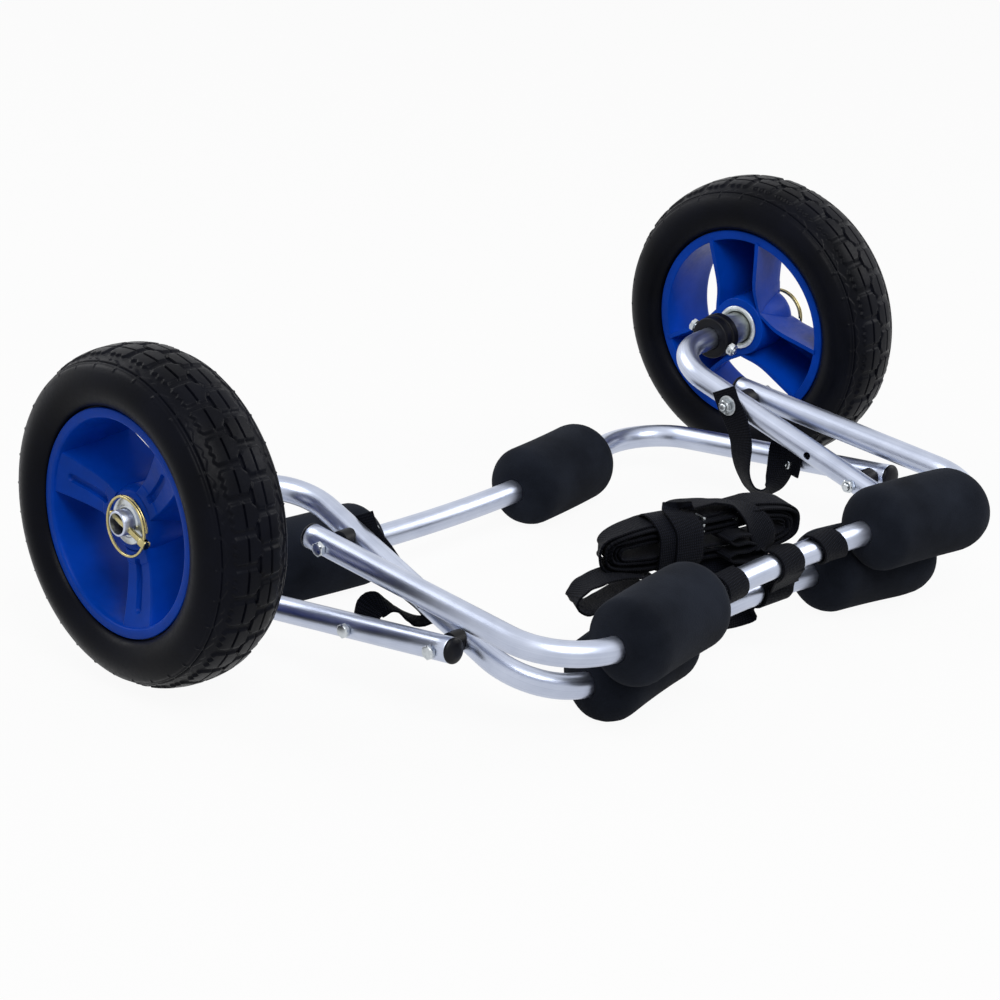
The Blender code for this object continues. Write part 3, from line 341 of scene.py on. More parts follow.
def axle_tail():
    """The wheel frame's leg end: straight, bent outwards through a right angle, then the axle stub."""
    lean, half = wheel_plane.lean, wheel_plane.half
    stub = (WHEEL_SPACING / 2 + AXLE_END * math.cos(lean), HUB_ALONG + AXLE_END * math.sin(lean))
    meet = (HUB_ALONG - WHEEL_SPACING / 2 * math.tan(lean) + half * math.tan(lean)) * math.cos(lean) ** 2
    elbow = np.array([half - meet * math.tan(lean), meet])
    leg = np.array([-math.sin(lean), math.cos(lean)])
    out = np.array([math.cos(lean), math.sin(lean)])
    centre = elbow - AXLE_BEND * leg + AXLE_BEND * out
    angle = np.linspace(math.pi + lean, math.pi / 2 + lean, 18)
    bend = centre + AXLE_BEND * np.stack([np.cos(angle), np.sin(angle)], -1)
    straight = bend[-1] + (np.array(stub) - bend[-1]) * np.linspace(0.1, 1, 10)[:, None]
    return np.concatenate([bend, straight])


# Materials


def linear(colour):
    """An sRGB hex number as linear red, green, blue and alpha."""
    parts = np.array([colour >> shift & 255 for shift in (16, 8, 0)]) / 255
    parts = np.where(parts <= 0.04045, parts / 12.92, ((parts + 0.055) / 1.055) ** 2.4)
    return (*parts.tolist(), 1.0)


def finish_named(name):
    """A new material, its node tree and its Principled shader."""
    made = bpy.data.materials.new(name)
    made.use_nodes = True
    return made, made.node_tree, made.node_tree.nodes["Principled BSDF"]


def node(tree, kind, inputs=None, stops=(), **settings):
    """Adds a node, or takes the one given as its kind, and gives it its settings, inputs and colour stops.

    An input, by its name or number, takes a value, another node's output, or a node, which stands for its
    first output. A colour ramp's two stops are (position, grey or sRGB hex number).
    """
    made = tree.nodes.new(kind) if isinstance(kind, str) else kind
    for key, value in settings.items():
        setattr(made, key, value)
    for key, value in (inputs or {}).items():
        source = value.outputs[0] if isinstance(value, bpy.types.Node) else value
        if isinstance(source, bpy.types.NodeSocket):
            tree.links.new(source, made.inputs[key])
        else:
            made.inputs[key].default_value = source
    for index, (position, value) in enumerate(stops):
        element = made.color_ramp.elements[index]
        element.position = position
        element.color = linear(value) if isinstance(value, int) else (value, value, value, 1)
    return made


def anodised_aluminium():
    """Drawn aluminium tube, satin anodised: a pale, slightly blue silver, faintly streaked along the tube.

    The streaks are 1.1 mm apart round the tube, which is coarser than real drawing lines so that they show,
    and 110 mm long. The anodised skin clouds every 26 mm.
    """
    made, tree, shader = finish_named("anodised_aluminium")
    along_tube = node(tree, "ShaderNodeUVMap", uv_map="weave")
    drawn = node(tree, "ShaderNodeMapping", {"Vector": along_tube, "Scale": (9.0, 900.0, 1.0)})
    streaks = node(tree, "ShaderNodeTexNoise", {"Vector": drawn, "Scale": 1.0, "Detail": 3.0})
    where = node(tree, "ShaderNodeTexCoord").outputs["Object"]
    clouds = node(tree, "ShaderNodeTexNoise", {"Vector": where, "Scale": 38.0, "Detail": 4.0})
    both = node(tree, "ShaderNodeMath", {0: streaks, 1: clouds}, operation="ADD")
    mean = node(tree, "ShaderNodeMath", {0: both, 1: 0.5}, operation="MULTIPLY")
    colour = node(tree, "ShaderNodeValToRGB", {"Fac": mean}, [(0.30, 0xA9B1C5), (0.70, 0xC8CFE0)])
    rough = node(tree, "ShaderNodeValToRGB", {"Fac": mean}, [(0.25, 0.28), (0.75, 0.40)])
    relief = node(tree, "ShaderNodeBump", {"Height": streaks, "Strength": 0.10, "Distance": 0.0002})
    node(tree, shader, {"Base Color": colour, "Roughness": rough, "Normal": relief, "Metallic": 1.0})
    return made


def closed_cell_foam():
    """Moulded closed-cell foam: charcoal, quite matte, with fine pores and a faint mottled skin.

    The pores are 1.1 mm apart and the grain is 2.4 mm, both coarser than the real ones so that they show. The
    skin's mottling is 40 mm across.
    """
    made, tree, shader = finish_named("closed_cell_foam")
    where = node(tree, "ShaderNodeTexCoord").outputs["Object"]
    pores = node(tree, "ShaderNodeTexVoronoi", {"Vector": where, "Scale": 900.0})
    grain = node(
        tree, "ShaderNodeTexNoise", {"Vector": where, "Scale": 420.0, "Detail": 5.0, "Roughness": 0.7}
    )
    clouds = node(tree, "ShaderNodeTexNoise", {"Vector": where, "Scale": 24.0, "Detail": 3.0})
    colour = node(tree, "ShaderNodeValToRGB", {"Fac": clouds}, [(0.3, 0x13161D), (0.7, 0x21252E)])
    height = node(tree, "ShaderNodeMath", {0: pores, 1: grain}, operation="ADD")
    relief = node(tree, "ShaderNodeBump", {"Height": height, "Strength": 0.35, "Distance": 0.0005})
    node(tree, shader, {"Base Color": colour, "Roughness": 0.92, "Normal": relief})
    node(tree, shader, {"Specular IOR Level": 0.03, "Sheen Weight": 0.03, "Sheen Roughness": 0.5})
    return made


def moulded_plastic(name, light, dark, roughness, gloss):
    """Injection-moulded nylon or polypropylene: even colour, satin, with a barely uneven skin.

    The colour drifts over 33 mm, and the skin's unevenness is 4 mm across.
    """
    made, tree, shader = finish_named(name)
    where = node(tree, "ShaderNodeTexCoord").outputs["Object"]
    clouds = node(tree, "ShaderNodeTexNoise", {"Vector": where, "Scale": 30.0, "Detail": 3.0})
    colour = node(tree, "ShaderNodeValToRGB", {"Fac": clouds}, [(0.3, dark), (0.7, light)])
    grain = node(tree, "ShaderNodeTexNoise", {"Vector": where, "Scale": 260.0, "Detail": 4.0})
    stops = [(0.3, roughness - 0.06), (0.7, roughness + 0.06)]
    rough = node(tree, "ShaderNodeValToRGB", {"Fac": grain}, stops)
    relief = node(tree, "ShaderNodeBump", {"Height": grain, "Strength": 0.06, "Distance": 0.0004})
    node(tree, shader, {"Base Color": colour, "Roughness": rough, "Normal": relief})
    node(tree, shader, {"Specular IOR Level": gloss})
    return made


def plated_steel(name, light, dark, roughness):
    """Zinc-plated steel, clear or yellow passivated: bright metal whose crystals cloud it every 5 mm."""
    made, tree, shader = finish_named(name)
    where = node(tree, "ShaderNodeTexCoord").outputs["Object"]
    clouds = node(
        tree, "ShaderNodeTexNoise", {"Vector": where, "Scale": 190.0, "Detail": 4.0, "Roughness": 0.6}
    )
    colour = node(tree, "ShaderNodeValToRGB", {"Fac": clouds}, [(0.3, dark), (0.7, light)])
    stops = [(0.2, roughness - 0.07), (0.8, roughness + 0.09)]
    rough = node(tree, "ShaderNodeValToRGB", {"Fac": clouds}, stops)
    relief = node(tree, "ShaderNodeBump", {"Height": clouds, "Strength": 0.04, "Distance": 0.0002})
    node(tree, shader, {"Base Color": colour, "Roughness": rough, "Normal": relief, "Metallic": 1.0})
    return made


def moulded_tyre_rubber():
    """Moulded foamed rubber: near black with a bluish cast and satin, its skin slightly pitted by the foam.

    The cast drifts over 45 mm. The pitting is 3 mm across, coarser than the real foam's so that it shows.
    """
    made, tree, shader = finish_named("moulded_tyre_rubber")
    where = node(tree, "ShaderNodeTexCoord").outputs["Object"]
    clouds = node(tree, "ShaderNodeTexNoise", {"Vector": where, "Scale": 22.0, "Detail": 5.0})
    colour = node(tree, "ShaderNodeValToRGB", {"Fac": clouds}, [(0.3, 0x05060B), (0.7, 0x0B0D16)])
    grain = node(
        tree, "ShaderNodeTexNoise", {"Vector": where, "Scale": 330.0, "Detail": 5.0, "Roughness": 0.65}
    )
    rough = node(tree, "ShaderNodeValToRGB", {"Fac": grain}, [(0.3, 0.30), (0.7, 0.45)])
    relief = node(tree, "ShaderNodeBump", {"Height": grain, "Strength": 0.16, "Distance": 0.0005})
    node(tree, shader, {"Base Color": colour, "Roughness": rough, "Normal": relief})
    node(tree, shader, {"Specular IOR Level": 0.06})
    return made


WARP_SPACING = 0.0017
WEFT_SPACING = 0.0021


def nylon_webbing():
    """Woven nylon webbing: black, its ribs a sine across it plus a sine along it that leans with the first,
    with painted shade darkening the weave's hollows.

    Warp and weft are a little coarser than real webbing's 1.5 mm so that they show; the fuzz is 1.4 mm.
    """
    made, tree, shader = finish_named("nylon_webbing")
    on_web = node(tree, "ShaderNodeSeparateXYZ", {0: node(tree, "ShaderNodeUVMap", uv_map="weave")})

    def ripple(distance, spacing, offset=0.0):
        """The sine of a distance, one turn for each spacing, moved on by an offset."""
        factors = {0: distance, 1: 2 * math.pi / spacing, 2: offset}
        turns = node(tree, "ShaderNodeMath", factors, operation="MULTIPLY_ADD")
        return node(tree, "ShaderNodeMath", {0: turns}, operation="SINE")

    warp = ripple(on_web.outputs["Y"], WARP_SPACING)
    lean = node(tree, "ShaderNodeMath", {0: warp, 1: 1.3}, operation="MULTIPLY")
    weft = ripple(on_web.outputs["X"], WEFT_SPACING, lean)
    height = node(tree, "ShaderNodeMath", {0: warp, 1: weft}, operation="ADD")
    where = node(tree, "ShaderNodeTexCoord").outputs["Object"]
    fuzz = node(tree, "ShaderNodeTexNoise", {"Vector": where, "Scale": 700.0, "Detail": 2.0})
    # the colour follows the weave's height: painted shade darkens its hollows, and the raised ribs stay
    # lighter
    colour = node(tree, "ShaderNodeValToRGB", {"Fac": height}, [(0.0, 0x030409), (1.0, 0x141721)])
    rough = node(tree, "ShaderNodeValToRGB", {"Fac": fuzz}, [(0.3, 0.62), (0.7, 0.80)])
    relief = node(tree, "ShaderNodeBump", {"Height": height, "Strength": 0.55, "Distance": 0.0004})
    node(tree, shader, {"Base Color": colour, "Roughness": rough, "Normal": relief})
    node(tree, shader, {"Specular IOR Level": 0.06, "Sheen Weight": 0.02, "Sheen Roughness": 0.4})
    return made


tube_metal = anodised_aluminium()
foam = closed_cell_foam()
black_plastic = moulded_plastic("moulded_nylon_black", 0x101117, 0x0A0B10, 0.42, 0.16)
blue_plastic = moulded_plastic("moulded_polypropylene_blue", 0x0243B6, 0x01399C, 0.36, 0.07)
zinc = plated_steel("zinc_plated_steel", 0xD3D8DC, 0xAEB4B9, 0.30)
zinc_dull = plated_steel("zinc_plated_tube", 0xC4C8C4, 0xA9ADA9, 0.42)
gold = plated_steel("yellow_passivated_steel", 0xC2B684, 0xA99D6E, 0.24)
rubber = moulded_tyre_rubber()
webbing = nylon_webbing()


# Camera and light

# The photograph's camera, from the fit of its outlines. Its lens is this many times as long as its frame is
# wide, which takes in 18.1 degrees.
CAMERA_AT = np.array([-1.7623, -1.6184, 0.9382]) + SHIFT
CAMERA_AZIMUTH, CAMERA_HEIGHT, CAMERA_ROLL = -47.78, 20.42, -1.44
CAMERA_LENS = 3.138
CAMERA_FRAME_MM = 36

# Square soft lamps: place, side in metres and power in watts. All face one point over the trolley's middle.
LAMPS = {
    "key": ((-1.0, -1.6, 2.4), 1.6, 56),
    "side": ((2.2, -1.2, 1.6), 1.4, 26),
    "back": ((-0.6, 2.4, 1.9), 1.8, 30),
}
LAMPS_FACE = (0, 0, 0.1)

# The white surroundings' light on the object, where 1 is the white that the camera sees
SKY_LIGHT = 0.27
# The floor: half its side, how far it lies under the trolley, its grey, and how much white it shows instead
FLOOR_HALF = 8
FLOOR_DROP = 0.0006
FLOOR_GREY = 0.62
FLOOR_WHITE = 0.94


def camera():
    """The photograph's camera, a little above the trolley and in front of its left wheel."""
    azimuth, height, roll = (math.radians(a) for a in (CAMERA_AZIMUTH, CAMERA_HEIGHT, CAMERA_ROLL))
    right = np.array([math.cos(azimuth), math.sin(azimuth), 0])
    back = np.array(
        [math.sin(azimuth) * math.cos(height), -math.cos(azimuth) * math.cos(height), math.sin(height)]
    )
    up = np.cross(back, right)
    matrix = np.eye(4)
    matrix[:3, 0] = math.cos(roll) * right - math.sin(roll) * up
    matrix[:3, 1] = math.sin(roll) * right + math.cos(roll) * up
    matrix[:3, 2], matrix[:3, 3] = back, CAMERA_AT
    made = bpy.data.objects.new("camera", bpy.data.cameras.new("camera"))
    bpy.context.scene.collection.objects.link(made)
    made.data.sensor_width = CAMERA_FRAME_MM
    made.data.lens = CAMERA_FRAME_MM * CAMERA_LENS
    made.data.clip_end = 50
    made.matrix_world = Matrix(matrix.tolist())
    bpy.context.scene.camera = made


def lamp(name, at, size, power):
    """A square soft lamp that faces the trolley."""
    data = bpy.data.lights.new(name, "AREA")
    data.shape = "SQUARE"
    data.size = size
    data.energy = power
    made = bpy.data.objects.new(name, data)
    bpy.context.scene.collection.objects.link(made)
    away = np.array(at) - np.array(LAMPS_FACE)
    made.matrix_world = Matrix(axes(at, np.cross((0, 0, 1), away), away).tolist())


def seen_rays(tree):
    """1 where the camera sees the white directly, in a shiny surface or through a clear one, else 0."""
    path = node(tree, "ShaderNodeLightPath")
    seen = path.outputs["Is Camera Ray"]
    for ray in ("Is Glossy Ray", "Is Transmission Ray"):
        seen = node(tree, "ShaderNodeMath", {0: seen, 1: path.outputs[ray]}, operation="MAXIMUM")
    return seen


def studio():
    """White surroundings, three large soft lamps and a white floor that keeps a faint shadow."""
    world = bpy.data.worlds.new("studio")
    bpy.context.scene.world = world
    world.use_nodes = True
    tree = world.node_tree
    light = node(tree, "ShaderNodeMapRange", {"Value": seen_rays(tree), "To Min": SKY_LIGHT, "To Max": 1.0})
    node(tree, tree.nodes["Background"], {"Color": (1, 1, 1, 1), "Strength": light})

    white = bpy.data.materials.new("white_sweep")
    white.use_nodes = True
    tree = white.node_tree
    tree.nodes.clear()
    matte = node(tree, "ShaderNodeBsdfDiffuse", {"Color": (FLOOR_GREY, FLOOR_GREY, FLOOR_GREY, 1)})
    glow = node(tree, "ShaderNodeEmission", {"Color": (1, 1, 1, 1), "Strength": 1.0})
    share = node(tree, "ShaderNodeMath", {0: seen_rays(tree), 1: FLOOR_WHITE}, operation="MULTIPLY")
    mix = node(tree, "ShaderNodeMixShader", {0: share, 1: matte, 2: glow})
    node(tree, "ShaderNodeOutputMaterial", {"Surface": mix})
    corners = np.array([(-1, -1, 0), (1, -1, 0), (1, 1, 0), (-1, 1, 0)]) * FLOOR_HALF - (0, 0, FLOOR_DROP)
    make_object("floor", corners, [(0, 1, 2, 3)], white)
    for name, (at, size, power) in LAMPS.items():
        lamp(name, at, size, power)


camera()
studio()
bpy.context.scene.view_settings.view_transform = "Standard"


# Tubes

TUBE_SIDES = 36
# The map's measure round a tube, near its true 0.0606
TUBE_ROUND = 0.06


def tube(name, kind, tail):
    """A round tube: circles square to its middle line, outside and then back along the bore."""
    plane = planes[kind]
    line = plane.line(tail)
    along = directions(line)
    ring = circles(np.cross(along, plane.normal), plane.normal, TUBE_SIDES)
    outer = line[:, None] + TUBE_RADIUS * ring
    inner = line[:, None] + TUBE_BORE * ring
    lips = line[[0, -1]][:, None] + (TUBE_RADIUS - TUBE_BEVEL) * ring[[0, -1]]
    outer[0] += TUBE_BEVEL * along[0]
    outer[-1] -= TUBE_BEVEL * along[-1]
    points = np.concatenate([lips[:1], outer, lips[1:], inner[::-1]])
    far = travelled(line)
    rows = np.concatenate([[0], far, [far[-1]], far[::-1]])
    round_it = np.arange(TUBE_SIDES) / TUBE_SIDES * TUBE_ROUND
    uvs = np.stack(np.meshgrid(rows, round_it, indexing="ij"), -1)
    made = grid_object(name, points, tube_metal, wrap_rows=True, uvs=uvs)
    return sharpen(outward(made), 50)


def bored(obj, centre, direction, radius, half):
    """Drills a round hole through a piece and keeps the result."""
    drill = axes(centre, direction, (0, 0, 1))
    cutter = turned("drill", [(-half, radius), (half, radius)], drill, tube_metal, 24, True)
    cut = obj.modifiers.new("hole", "BOOLEAN")
    cut.operation = "DIFFERENCE"
    cut.solver = "EXACT"
    cut.object = cutter
    bpy.context.view_layer.update()
    graph = bpy.context.evaluated_depsgraph_get()
    mesh = bpy.data.meshes.new_from_object(obj.evaluated_get(graph))
    obj.modifiers.clear()
    obj.data = mesh
    bpy.data.objects.remove(cutter)
    sharpen(obj, 50)


def frames():
    """The three U frames of tube, with the spare hole in each leg of the wheel frame."""
    tails = {
        "wheel": axle_tail(),
        "upper": upper_plane.free_end(LEG_ENDS["upper"]),
        "rear": rear_plane.free_end(LEG_ENDS["rear"]),
    }
    for kind, tail in tails.items():
        made = tube(f"{kind}_tube", kind, tail)
        if kind == "wheel":
            for side, _ in SIDES:
                bored(made, wheel_plane.leg(SPARE_HOLE, side), (1, 0, 0), SPARE_HOLE_RADIUS, 0.013)
        ride_for(made, f"{kind}_frame_tube", BODIES[kind])


# Foam pads

PAD_RADIUS = 0.0334
PAD_HALF = 0.0578
# The rounding of a pad's ends, towards its middle line and along it
PAD_ROUND = 0.0230
PAD_ROUND_ALONG = PAD_ROUND * 0.85
# Over what depth the foam rounds off where it is pressed, and how far it stays off what presses it
PAD_SOFT = 0.0016
PAD_GAP = 0.0002
# How far across its crossbar the middle of each left and right pad lies
PADS = {"wheel": (-0.1335, 0.1446), "upper": (-0.1494, 0.1578), "rear": (-0.1589, 0.1177)}


def pad(name, cad, kind, across, flats):
    """A foam roller: circles along the crossbar whose radius rounds off at the ends, pressed flat in places.

    The profile runs over the outside and back along the bore. The bore follows the tube round its corner, and
    the fat middle of the outside bends less. Each flat is a point and the direction out through it: what lies
    beyond comes back to a soft minimum of its depth and 0.
    """
    plane = planes[kind]
    half = plane.half_line(plane.free_end(0.20))
    far = travelled(half)
    middle = plane.bow * math.asin(across / plane.bow)

    def follow(distance):
        """Points on the tube's middle line, by their distance from the crossbar's middle."""
        flat = np.stack([np.interp(np.abs(distance), far, half[:, i]) for i in (0, 1)], -1)
        flat[:, 0] *= np.sign(distance)
        return plane.at(flat)

    turn = np.linspace(0, np.pi / 2, 10)
    end = np.stack(
        [PAD_HALF - PAD_ROUND_ALONG * (1 - np.cos(turn)), PAD_RADIUS - PAD_ROUND * (1 - np.sin(turn))], -1
    )
    body = np.linspace(-1, 1, 17)[1:-1] * (PAD_HALF - PAD_ROUND_ALONG)
    outer = np.concatenate([end * (-1, 1), np.stack([body, np.full(len(body), PAD_RADIUS)], -1), end[::-1]])
    inner = np.stack([np.linspace(PAD_HALF, -PAD_HALF, 24), np.full(24, TUBE_RADIUS + 0.0004)], -1)
    profile = np.concatenate([outer, inner])
    on_tube = follow(middle + profile[:, 0])
    straighter = plane.bar(across + profile[:, 0])
    share = 0.6 + 0.4 * (PAD_RADIUS - profile[:, 1]) / PAD_ROUND
    share[len(outer) :] = 1.0
    line = straighter + (on_tube - straighter) * share[:, None]
    ahead = follow(middle + profile[:, 0] + 0.001) - follow(middle + profile[:, 0] - 0.001)
    ahead /= np.linalg.norm(ahead, axis=1, keepdims=True)
    ring = circles(np.cross(ahead, plane.normal), plane.normal, 56)
    points = line[:, None] + profile[:, 1][:, None, None] * ring
    for point, out in flats:
        depth = (points - point) @ out
        pressed = -np.logaddexp(0, -depth / PAD_SOFT) * PAD_SOFT
        change = np.where(depth > -6 * PAD_SOFT, pressed - depth, 0)
        change[len(outer) :] = 0
        points = points + change[..., None] * out
    made = sharpen(outward(grid_object(name, points, foam, wrap_rows=True)), 60)
    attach(made, BODIES[kind])
    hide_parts(cad)


def pads():
    """Six rollers: those on the two crossbars that lie together press each other, four press on the floor."""
    down = (np.array([0, 0, PAD_GAP]), np.array([0, 0, -1.0]))
    for k, (_, name) in enumerate(SIDES):
        low = wheel_plane.bar(PADS["wheel"][k])[0]
        high = upper_plane.bar(PADS["upper"][k])[0]
        between = (high - low) * (0, 1, 1)
        between /= np.linalg.norm(between)
        middle, gap = (low + high) / 2, PAD_GAP * between
        for level, kind, flats in (
            ("lower", "wheel", [down, (middle - gap, between)]),
            ("upper", "upper", [(middle + gap, -between)]),
            ("rear", "rear", [down]),
        ):
            pad(f"{name}_{level}_foam", f"{name}_{level}_pad", kind, PADS[kind][k], flats)


# Wheels

# The rim: radius of its flanges, half its width, and the inside of its barrel
RIM_RADIUS = 0.0855
RIM_HALF = 0.0305
RIM_BORE = 0.0775
# A spoke, by distance from the axle: its start and end, the crease in its face, and the slot pressed into it
SPOKE_START = 0.0235
SPOKE_END = 0.0792
SPOKE_CREASE = 0.0330
SPOKE_WALL = 0.0034
SLOT_MIDDLE = 0.0480
SLOT_HALF = 0.0165
SLOT_RADIUS = 0.0029
SLOT_DEPTH = 0.0030
# The tread: blocks round each side, their pitch under the crown, and the mesh's points to each block
TREAD_BLOCKS = 32
PITCH_MM = 24.6
BLOCK_POINTS = 22
# How far the spokes and the treads are turned in the photograph
SPOKES = {"left": -25.7, "right": -26.0}
TREAD_TURN = 7.6
# The stop collar: where its bolt crosses it, inboard of the wheel's middle, and where the nut and head seat
COLLAR_BOLT_ALONG = -0.0710
COLLAR_SEAT = 0.0191
# The lock pin crosses the stub this far outboard of the wheel's middle, and its eye is this far along it
PIN_PLACE = 0.0250
PIN_EYE = 0.0270
# The sprung ring: middle line, wire, turns and drift from end to end
RING_RADIUS = 0.0222
RING_WIRE = 0.00115
RING_TURNS = 1.27
RING_DRIFT = 0.0026


def stub(side):
    """The axle end's own place: X outboard along it, Z square to the wheel frame's plane."""
    out = wheel_plane.outward(side)
    centre = wheel_plane.at((side * WHEEL_SPACING / 2, HUB_ALONG))[0]
    return axes(centre, out, wheel_plane.normal)


def step(value, width):
    """A soft step from 0 to 1 over a width round zero."""
    t = np.clip(value / width + 0.5, 0, 1)
    return t * t * (3 - 2 * t)


def wave(phase, count):
    """A triangular wave between 0 and 1, with its peaks at the middles of its periods."""
    return 1 - np.abs((phase * count) % 1 * 2 - 1)


def tread_height(across, phase):
    """How far the rubber stands above the tread's floor, in mm, and how far that floor is sunk.

    across is the distance from the tyre's middle over the crown, in mm, and phase counts blocks round it.
    Each side has a row of blocks, half a block on from the other side's. A block bulges over the middle line
    where the other side has its groove, is split by a slit, and has three saw teeth on its outer edge. Then
    come a low shoulder block with a notched inner edge, a thin rib, and a short bar at each groove. Each form
    is a distance inside its outline, in mm, taken through a soft step.
    """
    side = np.sign(across) + (across == 0)
    out = np.abs(across)
    u = (phase + np.where(side > 0, 0.0, 0.5)) % 1
    from_groove = np.minimum(u, 1 - u) * PITCH_MM
    mid = np.abs(u - 0.5)
    edge = 0.75
    inner = -0.7 + 3.2 * np.clip((mid - 0.17) / 0.16, 0, 1)
    outer = 19.6 + 2.6 * wave(u * 1.25 - 0.125, 3) + 0.9 * step(mid - 0.40, 0.08)
    block = np.minimum(np.minimum(across * side - inner, outer - out), from_groove - 2.3)
    slit = 0.75 - np.abs(out - 10.2)
    high = 1.7 * step(block, edge) - 1.5 * step(np.minimum(slit, block + 0.4), 0.6)
    notch = 25.9 + 2.2 * (1 - np.clip(mid / 0.12, 0, 1)) + 3.8 * np.clip((mid - 0.17) / 0.33, 0, 1)
    high = np.maximum(high, step(np.minimum(out - notch, 30.0 - out), edge))
    high = np.maximum(high, 0.9 * step(0.75 - np.abs(out - 32.0), 0.7))
    bar = np.minimum(0.7 - from_groove, np.minimum(out - 29.5, 36.5 - out))
    high = np.maximum(high, 0.6 * step(bar, 0.6))
    return high, 1.7 * (1 - step(out - 32.5, 7.0))


def tyre(name, matrix):
    """The tyre's section carried round the axle, its crown sunk to the tread's floor and raised at blocks.

    Half the section is a smooth curve through points at (along the axle, from the axle), closed by the bead.
    The tread's height stands square to the section.
    """
    shape = np.array(
        [
            (0.0, 0.1270), (0.0100, 0.1264), (0.0190, 0.1245), (0.0262, 0.1214), (0.0318, 0.1172),
            (0.0362, 0.1105), (0.0382, 0.1040), (0.0380, 0.0980), (0.0360, 0.0925), (0.0332, 0.0885),
            (0.0305, 0.0868),
        ]
    )
    knots = travelled(shape)
    fine = np.concatenate([np.arange(0, 0.0390, 0.00076), np.linspace(0.0400, knots[-1], 14)])
    half = np.stack([spline(knots, shape[:, i], fine) for i in (0, 1)], -1)
    bead = np.array([(0.0272, 0.0862), (0.0270, 0.0822), (0.0135, 0.0822), (0.0, 0.0822)])
    right = np.concatenate([half, bead])
    far = np.concatenate([fine, np.full(len(bead), 0.08)])
    section = np.concatenate([right, right[-2:0:-1] * (-1, 1)])
    over = np.concatenate([far, -far[-2:0:-1]])
    phase = np.arange(TREAD_BLOCKS * BLOCK_POINTS) / BLOCK_POINTS
    high, sunk = tread_height(over[:, None] * 1000, phase[None])
    on_tread = np.abs(over)[:, None] < 0.06
    lift = np.where(on_tread, (high - sunk) / 1000, 0)
    run = np.gradient(section, axis=0)
    run /= np.linalg.norm(run, axis=1, keepdims=True)
    normal = np.stack([-run[:, 1], run[:, 0]], -1)
    normal *= np.where((normal * section).sum(1, keepdims=True) < 0, -1, 1)
    angle = 2 * np.pi * phase / TREAD_BLOCKS
    along = section[:, :1] + lift * normal[:, :1]
    radius = section[:, 1:] + lift * normal[:, 1:]
    points = np.stack([along, radius * np.cos(angle), radius * np.sin(angle)], -1)
    made = grid_object(f"{name}_tyre_moulding", place(points, matrix), rubber, wrap_rows=True)
    ride_for(sharpen(outward(made), 55), f"{name}_tyre", f"{name}_wheel")


def rim(name, matrix):
    """Barrel with rounded bead flanges, hub with a tapered nose, and three trough-shaped spokes."""
    lip, seat, edge = RIM_RADIUS, RIM_RADIUS - 0.0038, RIM_HALF
    barrel = rounded(
        [
            (-edge, RIM_BORE), (-edge, lip), (-edge + 0.0030, lip), (-edge + 0.0030, seat),
            (edge - 0.0030, seat), (edge - 0.0030, lip), (edge, lip), (edge, RIM_BORE + 0.0006),
            (edge - 0.0035, RIM_BORE - 0.0004), (0.0, RIM_BORE - 0.0009),
        ],
        [0.0012, 0.0012, 0.0006, 0, 0, 0.0006, 0.0012, 0.0016, 0.0016, 0.004],
    )
    hub = rounded(
        [
            (-0.0330, 0.0162), (-0.0330, 0.0256), (0.0110, 0.0256), (0.0177, 0.0222), (0.0177, 0.0162),
        ],
        [0.0, 0.0015, 0.004, 0.0015, 0.0],
    )
    parts = [turned("barrel", barrel, matrix, blue_plastic, 144)]
    parts.append(turned("hub", hub, matrix, blue_plastic, 96))
    parts += [spoke(spun(matrix, turn)) for turn in (0, 120, 240)]
    made = sharpen(join(f"{name}_rim_moulding", parts), 32)
    ride_for(made, f"{name}_rim", f"{name}_wheel")


